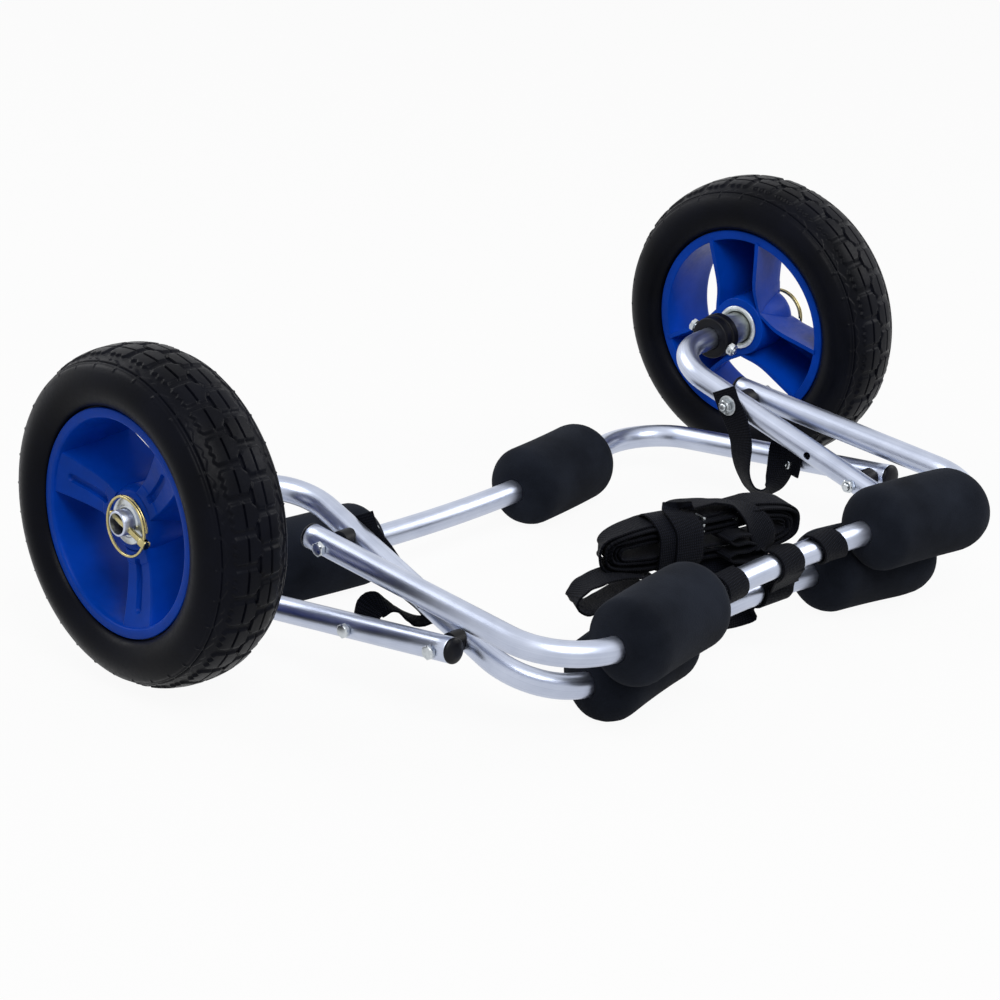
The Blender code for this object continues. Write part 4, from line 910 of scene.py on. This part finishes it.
def spoke(matrix):
    """One spoke: a U-shaped section that widens from hub to barrel, with a long round-ended slot pressed in.

    The section's outline runs over the closed outer face and back inside the trough. The face is level from
    the hub to a crease and then rises to the barrel, slowly at first. The slot's depth is the distance to a
    line segment, stepped down. The open side spreads into a rounded foot at the hub.
    """
    open_hub, open_barrel, shut_hub, shut_barrel = 0.0148, 0.0262, 0.0120, 0.0172
    near, far = np.linspace(SPOKE_START, 0.0320, 10), np.linspace(0.0325, SPOKE_END, 58)
    radius = np.concatenate([near, far])[:, None]
    share = (radius - SPOKE_START) / (SPOKE_END - SPOKE_START)
    foot = np.minimum(0.0085 * np.exp(-((radius - SPOKE_START) / 0.0100) ** 1.5), radius * 0.86 - open_hub)
    open_half = open_hub + (open_barrel - open_hub) * share**0.7 + foot
    shut_half = shut_hub + (shut_barrel - shut_hub) * share
    inner = -0.0322 + 0.0006 * share
    rise = np.clip((radius - SPOKE_CREASE) / (SPOKE_END - SPOKE_CREASE), 0, 1)
    face = 0.0172 - 0.0006 * step(radius - SPOKE_CREASE, 0.0010) + 0.0117 * rise**1.45
    edge = np.linspace(0.94, 1, 4)
    across = np.concatenate([-edge[::-1], np.linspace(-0.90, 0.90, 49), edge])[None]
    y_face = shut_half * across
    x_face = face - 0.0010 * np.clip((np.abs(across) - 0.94) / 0.06, 0, 1) ** 2
    distance = np.hypot(y_face, np.clip(np.abs(radius - SLOT_MIDDLE) - SLOT_HALF, 0, 1))
    x_face = x_face - SLOT_DEPTH * step(SLOT_RADIUS - distance, 0.0010)
    down = np.linspace(0, 1, 9)[None, 1:]
    side_x = x_face[:, -1:] + (inner - x_face[:, -1:]) * down
    side_y = shut_half + (open_half - shut_half) * down
    up = np.linspace(0, 1, 8)[None]
    trough_x = inner + (face - SPOKE_WALL - SLOT_DEPTH - inner) * up
    trough_y = (open_half - SPOKE_WALL) + (shut_half - open_half) * up
    x = np.concatenate([x_face, side_x, trough_x, trough_x[:, ::-1], side_x[:, ::-1]], 1)
    y = np.concatenate([y_face, side_y, trough_y, -trough_y[:, ::-1], -side_y[:, ::-1]], 1)
    z = np.sqrt(np.maximum(radius**2 - y**2, 0))
    return outward(grid_object("spoke", place(np.stack([x, y, z], -1), matrix), blue_plastic, caps=True))


def wheel_hardware(side, name, matrix):
    """Bushings, spacer sleeve, collar with its bolt, lock pin and ring of one axle end."""
    wheel, body = f"{name}_wheel", "wheel_frame"
    inner = rounded(
        [
            (-0.0355, 0.0180), (-0.0363, 0.0165), (-0.0345, 0.0140), (-0.0210, 0.0139), (-0.0210, 0.0157),
            (-0.0333, 0.0157), (-0.0333, 0.0192), (-0.0350, 0.0192),
        ],
        [0.0008, 0.0008, 0.0012, 0, 0, 0.0003, 0.0006, 0.0008],
    )
    made = turned(f"{name}_inner_cup", inner, matrix, zinc, 72)
    ride_for(made, f"{name}_inner_bushing", wheel)
    outer = rounded(
        [
            (0.0037, 0.0101), (0.0210, 0.0101), (0.0212, 0.0112), (0.0203, 0.0124), (0.0203, 0.0172),
            (0.0196, 0.0178), (0.0180, 0.0178), (0.0180, 0.0157), (0.0037, 0.0157),
        ],
        [0, 0.0003, 0.0008, 0.0012, 0.0006, 0.0004, 0.0004, 0.0, 0],
    )
    made = turned(f"{name}_outer_flange", outer, matrix, zinc, 72)
    ride_for(made, f"{name}_outer_bushing", wheel)
    sleeve = rounded([(-0.0577, 0.0101), (-0.0577, 0.0134), (-0.0180, 0.0134), (-0.0180, 0.0101)], 0.0003)
    made = turned(f"{name}_sleeve_tube", sleeve, matrix, zinc_dull, 64)
    ride_for(made, f"{name}_spacer_sleeve", body)
    collar = rounded(
        [
            (-0.0760, 0.0102), (-0.0760, 0.0172), (-0.0752, 0.0180), (-0.0675, 0.0182), (-0.0670, 0.0174),
            (-0.0662, 0.0174), (-0.0658, 0.0188), (-0.0590, 0.0188), (-0.0580, 0.0178), (-0.0580, 0.0102),
        ],
        [0.0004, 0.0008, 0.0012, 0.0006, 0.0003, 0.0003, 0.0010, 0.0010, 0.0008, 0.0004],
    )
    made = turned(f"{name}_stop_collar", collar, matrix, black_plastic, 72)
    ride_for(made, f"{name}_collar", body)
    front = -side * matrix[:3, 1]
    centre = place(np.array([COLLAR_BOLT_ALONG, 0, 0]), matrix)
    made = hex_bolt(f"{name}_collar_screw", centre, -front, COLLAR_SEAT, -0.0256)
    ride_for(made, f"{name}_collar_bolt", body)
    made = hex_nut(f"{name}_collar_lock_nut", centre, front, COLLAR_SEAT, COLLAR_SEAT + NUT_HIGH, 0)
    ride_for(made, f"{name}_collar_nut", body)
    lock_parts(name, matrix, front)


def hex_bolt(name, centre, direction, seat, tip):
    """A hex-headed bolt: chamfered head above the seat and a shank with a rounded tip."""
    top = seat + HEAD_HIGH
    profile = [
        (top, 0.0001), (top, 0.0040), (top - 0.0002, 0.0046), (top - 0.0010, HEAD_RADIUS),
        (seat + 0.0003, HEAD_RADIUS), (seat, 0.0055), (seat, BOLT_RADIUS), (tip + 0.0007, BOLT_RADIUS),
        (tip, 0.0022), (tip, 0.0001),
    ]
    return turned(name, profile, axes(centre, direction, BOLT_UP), zinc, 72, True, 30, hexed=(3, 4, 5))


def hex_nut(name, centre, direction, low, high, turn):
    """A hex nut with both faces chamfered and the bolt's hole through it."""
    profile = [
        (low, 0.0033), (low, 0.0050), (low + 0.0006, HEAD_RADIUS), (high - 0.0008, HEAD_RADIUS),
        (high, 0.0048), (high, 0.0038), (high - 0.0005, 0.0033),
    ]
    matrix = spun(axes(centre, direction, BOLT_UP), turn)
    return turned(name, profile, matrix, zinc, 72, degrees=30, hexed=(2, 3))


def wire(name, line, radius, surface):
    """A round wire: circles square to its line, set by the plane that the line lies nearest to."""
    along = directions(line)
    plane_normal = np.linalg.svd(line - line.mean(0))[2][2]
    side = np.cross(along, plane_normal)
    side /= np.linalg.norm(side, axis=1, keepdims=True)
    points = line[:, None] + radius * circles(side, np.cross(side, along), 14)
    return sharpen(outward(grid_object(name, points, surface, caps=True)), 50)


def lock_parts(name, matrix, front):
    """The lock pin with its eye, and the sprung ring through it.

    The ring goes round a little more than once and drifts along the axle, so that its ends lie side by side.
    """
    pin = axes(place(np.array([PIN_PLACE, 0, 0]), matrix), front, matrix[:3, 2])
    profile = rounded(
        [
            (-0.0140, 0.0001), (-0.0140, 0.0018), (-0.0125, 0.0024), (0.0118, 0.0024), (0.0222, 0.0024),
            (0.0236, 0.0038), (0.0300, 0.0038), (0.0306, 0.0026), (0.0306, 0.0001),
        ],
        [0, 0.0006, 0.0006, 0, 0.0006, 0.0008, 0.0006, 0.0006, 0],
    )
    made = turned(f"{name}_pin_rod", profile, pin, gold, 36, solid=True)
    bored(made, place(np.array([PIN_EYE, 0, 0]), pin), matrix[:3, 2], 0.0020, 0.01)
    ride_for(made, f"{name}_lock_pin", f"{name}_pin")
    share = np.linspace(0, 1, 150)
    angle = (0.06 + RING_TURNS * share) * 2 * np.pi
    ring = np.stack(
        [
            RING_DRIFT * (share - 0.5),
            PIN_EYE - RING_RADIUS + RING_RADIUS * np.cos(angle),
            RING_RADIUS * np.sin(angle),
        ],
        -1,
    )
    ring_place = axes(pin[:3, 3], matrix[:3, 0], matrix[:3, 2])
    ring[:, 1] *= np.sign(ring_place[:3, 1] @ front)
    made = wire(f"{name}_split_ring", place(ring, ring_place), RING_WIRE, gold)
    ride_for(made, f"{name}_lock_ring", f"{name}_ring")


def wheels():
    """Both wheels with what holds them on their axles."""
    for side, name in SIDES:
        matrix = stub(side)
        tyre(name, spun(matrix, TREAD_TURN))
        rim(name, spun(matrix, SPOKES[name]))
        wheel_hardware(side, name, matrix)


# Bolts, spacers and plugs at the frames' pivots

SPACER_RADIUS = 0.0082
WASHER_HIGH = 0.0014
# What a bolt's tip shows past the face that its nut sits on
BOLT_SHOWS = 0.0065
# The room that a strap has beside its own thickness where a washer clamps it
STRAP_ROOM = 0.0006
WEB_WIDTH = 0.0250
WEB_THICKNESS = 0.0018


def pivot_places():
    """Where the two hinge lines and the strap anchor lie, and how far out each outer tube is there."""
    hinge = wheel_plane.leg(UPPER_PIVOT, 1)
    rear_hinge = wheel_plane.leg(REAR_PIVOT, 1)
    anchor = rear_plane.leg(STRAP_ANCHOR, 1)
    outer_x = [
        plane.half - (point - plane.start) @ plane.along * math.tan(plane.lean)
        for plane, point in ((upper_plane, hinge), (rear_plane, rear_hinge))
    ]
    return hinge, rear_hinge, anchor, *outer_x


def spacer(name, point, direction, face, side):
    """A cylinder from the wheel frame's tube to a flat face.

    The end on the tube is hollowed to it: each point lies out by the root of the tube's radius squared less
    its distance off the tube's middle line squared.
    """
    sides = 48
    angle = 2 * np.pi * np.arange(sides) / sides
    bore, bevel = 0.0036, 0.0004
    rings = []
    for hollow, size, inset in (
        (True, bore, 0),
        (True, SPACER_RADIUS - bevel, 0),
        (True, SPACER_RADIUS, bevel),
        (False, SPACER_RADIUS, bevel),
        (False, SPACER_RADIUS - bevel, 0),
        (False, bore, 0),
    ):
        y, z = size * np.cos(angle), size * np.sin(angle)
        if hollow:
            off = y * direction[2] - z * direction[1]
            lean = (y * direction[1] + z * direction[2]) * direction[0]
            x = point[0] + side * (np.sqrt((TUBE_RADIUS + 0.0004) ** 2 - off**2) + inset) + lean
        else:
            x = np.full(sides, side * (face - inset))
        rings.append(np.stack([x, point[1] + y, point[2] + z], -1))
    made = grid_object(name, np.array(rings), black_plastic, wrap_rows=True)
    return sharpen(outward(made), 35)


def end_plug(name, plane, along, side):
    """A domed cap with a small lip, pushed into the end of a leg."""
    profile = rounded(
        [
            (-0.0070, 0.0001), (-0.0070, 0.0072), (0.0003, 0.0072), (0.0003, 0.0098), (0.0018, 0.0098),
            (0.0030, 0.0086), (0.0045, 0.0050), (0.0047, 0.0001),
        ],
        [0, 0, 0, 0.0004, 0.0008, 0.0012, 0.002, 0],
    )
    matrix = axes(plane.leg(along, side), plane.leg_direction(side), plane.normal)
    return turned(name, profile, matrix, black_plastic, 48, solid=True)


def pivots():
    """Hinge bolts with their nuts, the washers over the straps, the spacers and the end plugs."""
    hinge, rear_hinge, anchor, upper_x, rear_x = pivot_places()
    washer_top = hinge[0] - TUBE_RADIUS - GAP - STRAP_ROOM - WEB_THICKNESS - GAP
    washer_low = washer_top - WASHER_HIGH
    anchor_seat = anchor[0] - TUBE_RADIUS - GAP - WEB_THICKNESS - 4 * GAP
    washer = [(washer_low, 0.0034), (washer_low, 0.0085), (washer_top, 0.0085), (washer_top, 0.0034)]
    rear_seat = rear_hinge[0] - TUBE_RADIUS - GAP
    # piece, CAD pair, body, point on the bolt's line, outer tube's middle, the nut's seat and the nut's turn
    pairs = (
        ("upper_hinge", "upper_pivot", "wheel_frame", hinge, upper_x, washer_low - GAP, 14),
        ("rear_hinge", "rear_pivot", "wheel_frame", rear_hinge, rear_x, rear_seat, 33),
        ("strap_anchor", "anchor", "rear_frame", anchor, anchor[0], anchor_seat, 50),
    )
    for side, name in SIDES:
        out = np.array([float(side), 0, 0])
        at = axes(hinge * (0, 1, 1), out, (0, 0, 1))
        made = turned(f"{name}_washer_disc", rounded(washer, 0.0002), at, zinc, 48)
        ride_for(made, f"{name}_strap_washer", "wheel_frame")
        for piece, cad, body, point, outer_x, nut_seat, nut_turn in pairs:
            centre, seat = point * (0, 1, 1), outer_x + TUBE_RADIUS + GAP
            made = hex_bolt(f"{name}_{piece}_bolt", centre, out, seat, nut_seat - BOLT_SHOWS)
            ride_for(made, f"{name}_{cad}_bolt", body)
            made = hex_nut(f"{name}_{piece}_nut", centre, -out, -nut_seat, NUT_HIGH - nut_seat, nut_turn)
            ride_for(made, f"{name}_{cad}_nut", body)
        for along, outer_x, kind in ((UPPER_PIVOT, upper_x, "upper"), (REAR_PIVOT, rear_x, "rear")):
            point, direction = wheel_plane.leg(along, side), wheel_plane.leg_direction(side)
            made = spacer(f"{name}_{kind}_standoff", point, direction, outer_x - TUBE_RADIUS - 2 * GAP, side)
            ride_for(made, f"{name}_{kind}_spacer", "wheel_frame")
        for kind, plane in (("upper", upper_plane), ("rear", rear_plane)):
            made = end_plug(f"{name}_{kind}_cap", plane, LEG_ENDS[kind], side)
            ride_for(made, f"{name}_{kind}_plug", BODIES[kind])


# Webbing


def ribbon(name, points, across):
    """Flat webbing along a smooth curve through listed points.

    The width's direction is blended between the points and squared to the curve.
    """
    across = across / np.linalg.norm(across, axis=1, keepdims=True)
    knots = travelled(points)
    wanted = np.linspace(0, knots[-1], max(24, int(knots[-1] / 0.0022)))
    line = np.stack([spline(knots, points[:, i], wanted) for i in range(3)], -1)
    side = np.stack([np.interp(wanted, knots, across[:, i]) for i in range(3)], -1)
    return band(name, line, side)


def laid(route):
    """A listed route's places and its width directions, as two arrays."""
    return np.array(route, float).swapaxes(0, 1)


def band(name, line, side):
    """The webbing's section along a line: flat faces, and edges rounded over a third of the thickness.

    The side directions are squared to the line first. The map runs along the webbing and across it in metres.
    """
    along = directions(line)
    side = side - np.sum(side * along, 1, keepdims=True) * along
    side /= np.linalg.norm(side, axis=1, keepdims=True)
    w, t, r = WEB_WIDTH / 2, WEB_THICKNESS / 2, WEB_THICKNESS / 3
    flat = np.linspace(-1, 1, 7) * (w - r)
    top = np.stack([flat, np.full(7, t)], -1)
    edge = np.array([(w - r * 0.3, t - r * 0.3), (w, t - r), (w, -t + r), (w - r * 0.3, -t + r * 0.3)])
    section = np.concatenate([top, edge, -top, -edge])
    points = line[:, None] + section[:, :1] * side[:, None] + section[:, 1:] * np.cross(along, side)[:, None]
    uvs = np.stack(np.broadcast_arrays(travelled(line)[:, None], section[None, :, 0]), -1)
    return sharpen(outward(grid_object(name, points, webbing, caps=True, uvs=uvs)), 50)


def limit_straps():
    """The two short straps that stop the rear frame.

    Each is laid out after the photograph, as places and width directions, from under the washer at the
    upper hinge (x1) down and round to the anchor bolt on the rear frame (x3).
    """
    hinge, _, anchor, _, _ = pivot_places()
    x1, x3 = (point[0] - TUBE_RADIUS - GAP - WEB_THICKNESS / 2 - STRAP_ROOM for point in (hinge, anchor))
    y, z = (hinge - SHIFT)[1:]
    routes = {
        "right": [
            ((x1, y + 0.0066, z + 0.0125), (0, -0.95, 0.30)),
            ((x1, y, z), (0, -0.95, 0.30)),
            ((x1, -0.0881, 0.0899), (0, -0.97, 0.20)),
            ((x1, -0.0936, 0.0789), (-0.05, -1, 0.10)),
            ((x1, -0.0967, 0.0673), (-0.12, -1, 0.05)),
            ((x1, -0.0972, 0.0558), (-0.25, -0.95, 0.05)),
            ((x1 + 0.0014, -0.0978, 0.0458), (-0.38, -0.90, 0.10)),
            ((x1 + 0.0045, -0.0995, 0.0365), (-0.50, -0.80, 0.25)),
            ((x1 + 0.0095, -0.1022, 0.0285), (-0.60, -0.65, 0.42)),
            ((x1 + 0.0150, -0.1062, 0.0243), (-0.65, -0.56, 0.50)),
            ((x1 + 0.0205, -0.1099, 0.0246), (-0.80, -0.30, 0.50)),
            ((x1 + 0.0245, -0.1138, 0.0289), (-0.93, 0, 0.36)),
            ((x3 - 0.0109, -0.1159, 0.0364), (-0.92, 0.30, 0.20)),
            ((x3 - 0.0104, -0.1181, 0.0462), (-0.87, 0.48, 0.10)),
            ((x3 - 0.0103, -0.1194, 0.0564), (-0.80, 0.60, 0)),
            ((x3 - 0.0085, -0.1204, 0.0652), (-0.50, 0.85, 0)),
            ((x3 - 0.0045, -0.1209, 0.0695), (-0.20, 0.97, 0)),
            ((x3 - 0.0008, -0.1210, 0.0648), (0, 1, 0)),
            ((x3, -0.1189, 0.0556), (0, 1, 0)),
            ((x3, -0.1187, 0.0484), (0, 1, 0)),
            ((x3, -0.1170, 0.0389), (0, 1, 0)),
        ],
        "left": [
            ((-x1, y + 0.0066, z + 0.0125), (0, 0.95, -0.30)),
            ((-x1, y, z), (0, 0.93, -0.35)),
            ((-x1, -0.1000, 0.0840), (0, 0.75, -0.66)),
            ((-x1, -0.1220, 0.0675), (0.10, 0.72, -0.66)),
            ((-x1 + 0.0010, -0.1440, 0.0520), (0.35, 0.75, -0.40)),
            ((-x1 - 0.0010, -0.1480, 0.0490), (0.60, 0.70, -0.15)),
            ((-x1 - 0.0040, -0.1456, 0.0479), (0.62, 0.74, -0.10)),
            ((-x1 - 0.0075, -0.1388, 0.0474), (0.60, 0.78, -0.10)),
            ((-x1 - 0.0115, -0.1334, 0.0500), (0.58, 0.80, -0.10)),
            ((-x1 - 0.0165, -0.1279, 0.0555), (0.50, 0.85, -0.15)),
            ((-x1 - 0.0210, -0.1243, 0.0585), (0.30, 0.90, 0.10)),
            ((-x1 - 0.0260, -0.1218, 0.0602), (0.10, 0.85, 0.45)),
            ((-x1 - 0.0310, -0.1202, 0.0605), (0, 0.86, 0.50)),
            ((-x1 - 0.0353, -0.1196, 0.0590), (0, 0.95, 0.30)),
            ((-x3 + 0.0008, -0.1192, 0.0550), (0, 1, 0.05)),
            ((-x3, -0.1188, 0.0484), (0, 1, 0)),
            ((-x3, -0.1158, 0.0374), (0, 1, 0.25)),
        ],
    }
    for side, name in SIDES:
        points, across = laid(routes[name])
        made = ribbon(f"{name}_stop_webbing", points + SHIFT, across)
        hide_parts(f"{name}_limit_strap")
        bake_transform(made)


# The hank: loops, what each lies inside the last, half its length, and half its height in lobes and waist
HANK_LOOPS = 6
HANK_STEP = 0.0023
HANK_HALF_LENGTH = 0.0900
LEFT_LOBE, RIGHT_LOBE, HANK_WAIST = 0.0185, 0.0205, 0.0165
# Its middle, its turn in plan, and how much lower than its left end its right end lies, as a slope
HANK_CENTRE = np.array([-0.0410, -0.2560, 0.0992]) + SHIFT
HANK_YAW = -14.0
HANK_SINKS = 0.035


def hank_frame():
    """The hank's own directions: along it, across its webbing and up."""
    yaw = math.radians(HANK_YAW)
    along = np.array([math.cos(yaw), math.sin(yaw), -HANK_SINKS])
    along /= np.linalg.norm(along)
    across = np.array([-math.sin(yaw), math.cos(yaw), 0])
    return along, across, np.cross(along, across)


def in_hank(local):
    """Places of the hank's own frame, as (along, across, up), in the trolley's."""
    return HANK_CENTRE + np.array(local) @ np.array(hank_frame())


def hank():
    """The stowed strap: a spiral of webbing with two lobes, drawn in at the waist, whose loops wander.

    Each turn is a superellipse; its half height is the waist's at the middle and grows to each lobe's. The
    webbing stands square to the hank at its right end and is turned away more and more towards its left.
    """
    turn = np.linspace(0, HANK_LOOPS, HANK_LOOPS * 120 + 1)
    angle = 2 * np.pi * turn
    inset = HANK_STEP * turn
    cos, sin = np.cos(angle), np.sin(angle)
    along = (HANK_HALF_LENGTH - inset * 1.3) * np.copysign(np.abs(cos) ** 0.75, cos)
    share = along / HANK_HALF_LENGTH
    lobe = np.where(share < 0, LEFT_LOBE, RIGHT_LOBE)
    half = HANK_WAIST + (lobe - HANK_WAIST) * np.clip(np.abs(share) / 0.55, 0, 1) ** 2
    high = (half - inset * 0.9) * np.copysign(np.abs(sin) ** 0.62, sin)
    high = high + 0.0009 * np.sin(turn * 5.3 + 1.0)
    wander = 0.0022 * np.sin(turn * 2.9 + 0.7) + 0.0012 * np.sin(angle * 1.5)
    line = in_hank(np.stack([along, wander, high], -1))
    yaw = np.radians(17 - 12 * share + 5 * np.sin(turn * 4.1))[:, None]
    x, y, _ = hank_frame()
    made = band("stowed_hank", line, np.sin(yaw) * x + np.cos(yaw) * y)
    ride_for(made, "strap_hank", "upper_frame")


def bar_wrap(plane, places, angles, count=33):
    """Points round a crossbar from one place and angle to another, with the bar's direction at each."""
    radius = TUBE_RADIUS + WEB_THICKNESS / 2 + 0.0010
    across = np.linspace(*places, count)
    middle = plane.bar(across)
    ahead = plane.bar(across + 0.001) - plane.bar(across - 0.001)
    ahead /= np.linalg.norm(ahead, axis=1, keepdims=True)
    up = np.array([0, 0, 1.0]) - ahead[:, 2:] * ahead
    up /= np.linalg.norm(up, axis=1, keepdims=True)
    back = np.cross(up, ahead)
    angle = np.radians(np.linspace(*angles, count))[:, None]
    return middle + radius * (np.cos(angle) * back + np.sin(angle) * up), ahead


def waistband():
    """Two turns of the strap round the hank's left half, then over its top, down its front and into folds.

    The route is places and width directions in the hank's own frame.
    """
    along = (1, 0, 0)
    route = [
        ((-0.0350, -0.0165, -0.0170), along),
        ((-0.0355, -0.0185, -0.0020), along),
        ((-0.0360, -0.0170, 0.0130), along),
        ((-0.0370, -0.0090, 0.0200), along),
        ((-0.0350, 0.0080, 0.0200), along),
        ((-0.0330, 0.0175, 0.0110), along),
        ((-0.0300, 0.0175, -0.0110), along),
        ((-0.0270, 0.0080, -0.0200), along),
        ((-0.0240, -0.0090, -0.0200), along),
        ((-0.0220, -0.0190, -0.0130), along),
        ((-0.0215, -0.0205, 0.0000), along),
        ((-0.0220, -0.0185, 0.0130), along),
        ((-0.0240, -0.0110, 0.0212), (1, 0.1, 0)),
        ((-0.0220, -0.0020, 0.0232), (0.75, 0.65, 0)),
        ((-0.0140, 0.0040, 0.0238), (0.1, 1.0, 0)),
        ((-0.0020, 0.0040, 0.0240), (-0.1, 1.0, -0.1)),
        ((0.0120, 0.0005, 0.0243), (0, 1.0, -0.2)),
        ((0.0250, -0.0080, 0.0232), (0.3, 0.85, -0.1)),
        ((0.0355, -0.0165, 0.0165), (0.6, 0.6, 0.3)),
        ((0.0420, -0.0205, 0.0070), (0.8, 0.2, 0.45)),
        ((0.0470, -0.0215, -0.0030), (0.85, 0.1, 0.35)),
        ((0.0490, -0.0215, -0.0115), (0.8, 0.4, 0.1)),
        ((0.0400, -0.0195, -0.0170), (0.2, 1, 0)),
        ((0.0240, -0.0170, -0.0165), (0, 1, 0)),
        ((0.0130, -0.0165, -0.0140), (0, 1, 0)),
        ((0.0100, -0.0165, -0.0110), (0, 1, 0)),
        ((0.0140, -0.0165, -0.0090), (0, 1, 0)),
        ((0.0300, -0.0170, -0.0080), (0, 1, 0)),
        ((0.0350, -0.0170, -0.0050), (0, 1, 0)),
        ((0.0300, -0.0165, -0.0025), (0, 1, 0)),
        ((0.0140, -0.0165, -0.0010), (0, 1, 0)),
        ((0.0100, -0.0165, 0.0020), (0, 1, 0)),
        ((0.0150, -0.0165, 0.0045), (0, 1, 0)),
        ((0.0300, -0.0165, 0.0040), (0, 1, 0)),
    ]
    places, across = laid(route)
    made = ribbon("hank_waistband", in_hank(places), across @ np.array(hank_frame()))
    ride_for(made, "strap_hank_band", "upper_frame")


def tie_down():
    """The rest of the stowed strap: loose loop, wraps on the bars and tail."""
    loose = np.array(
        [
            (-0.0820, -0.2460, 0.0759),
            (-0.1030, -0.2460, 0.0838),
            (-0.1259, -0.2460, 0.0885),
            (-0.1459, -0.2460, 0.0890),
            (-0.1612, -0.2460, 0.0862),
            (-0.1686, -0.2460, 0.0805),
            (-0.1616, -0.2460, 0.0726),
            (-0.1483, -0.2460, 0.0700),
            (-0.1339, -0.2460, 0.0712),
            (-0.1139, -0.2460, 0.0733),
            (-0.0935, -0.2460, 0.0737),
        ]
    )
    made = ribbon("loose_webbing_loop", loose + SHIFT, np.tile((0.55, 0.83, 0), (len(loose), 1)))
    ride_for(made, "strap_loose_loop", "upper_frame")
    for name, places, angles in (
        ("left", (-0.0640, -0.0590), (60, 430)),
        ("far", (0.0480, 0.0735), (50, 430)),
    ):
        made = ribbon(f"{name}_bar_wrap", *bar_wrap(upper_plane, places, angles))
        ride_for(made, f"strap_{name}_wrap", "upper_frame")

    # the right wrap comes from under the hank, goes over the upper bar and round the lower one, and ends free
    start, start_across = laid(
        [
            ((-0.0200, -0.0080, -0.0235), (0.0, 0.7, 0.7)),
            ((0.0000, -0.0110, -0.0265), (0.1, 0.6, 0.8)),
            ((0.0200, -0.0140, -0.0265), (0.2, 0.5, 0.8)),
            ((0.0370, -0.0180, -0.0215), (0.6, 0.5, 0.6)),
        ]
    )
    over, over_across = bar_wrap(upper_plane, (0.0030, 0.0080), (60, 230))
    under, under_across = bar_wrap(wheel_plane, (0.0440, 0.0350), (165, 630), 49)
    link = over[-1] + (under[0] - over[-1]) * np.array([[0.12], [0.35], [0.65], [0.88]])
    tail, tail_across = laid(
        [
            ((0.0330, -0.2560, 0.0215), (0.8, 0.3, 0.3)),
            ((0.0270, -0.2530, 0.0195), (0.4, 0.3, 0.9)),
            ((0.0190, -0.2515, 0.0188), (0.1, 0.2, 1)),
            ((0.0060, -0.2510, 0.0205), (0, 0.2, 1)),
        ]
    )
    link_across = np.tile(over_across[-1], (len(link), 1))
    points = np.concatenate([in_hank(start), over[::3], link, under[::3], tail + SHIFT])
    across = np.concatenate([start_across, over_across[::3], link_across, under_across[::3], tail_across])
    made = ribbon("right_bar_wrap", points, across)
    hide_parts("strap_right_wrap")
    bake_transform(made)


def buckle():
    """The metal buckle at the front of the hank: a U of strip with rounded corners."""
    x, y, z = hank_frame()
    centre = in_hank((0.0122, -0.0065, 0.0050))
    wide, deep, high, wall = 0.0165, 0.0055, 0.0130, 0.0018
    outline = rounded(
        [
            (-wide, -high), (-wide, high), (-wide + wall, high), (-wide + wall, -high + wall),
            (wide - wall, -high + wall), (wide - wall, high), (wide, high), (wide, -high),
        ],
        [0.003, 0.0008, 0.0008, 0.0014, 0.0014, 0.0008, 0.0008, 0.003],
        5,
    )
    rows = []
    for off, inset in ((-deep, 0.0002), (-deep + 0.0003, 0), (deep - 0.0003, 0), (deep, 0.0002)):
        scale = 1 - inset / wide
        rows.append(centre + scale * outline[:, :1] * x + scale * outline[:, 1:] * z + off * y)
    made = grid_object("strap_buckle", np.array(rows), zinc, caps=True)
    sharpen(outward(made), 35)
    ride_for(made, "buckle_body", "upper_frame")


frames()
pads()
wheels()
pivots()
limit_straps()
hank()
waistband()
tie_down()
buckle()
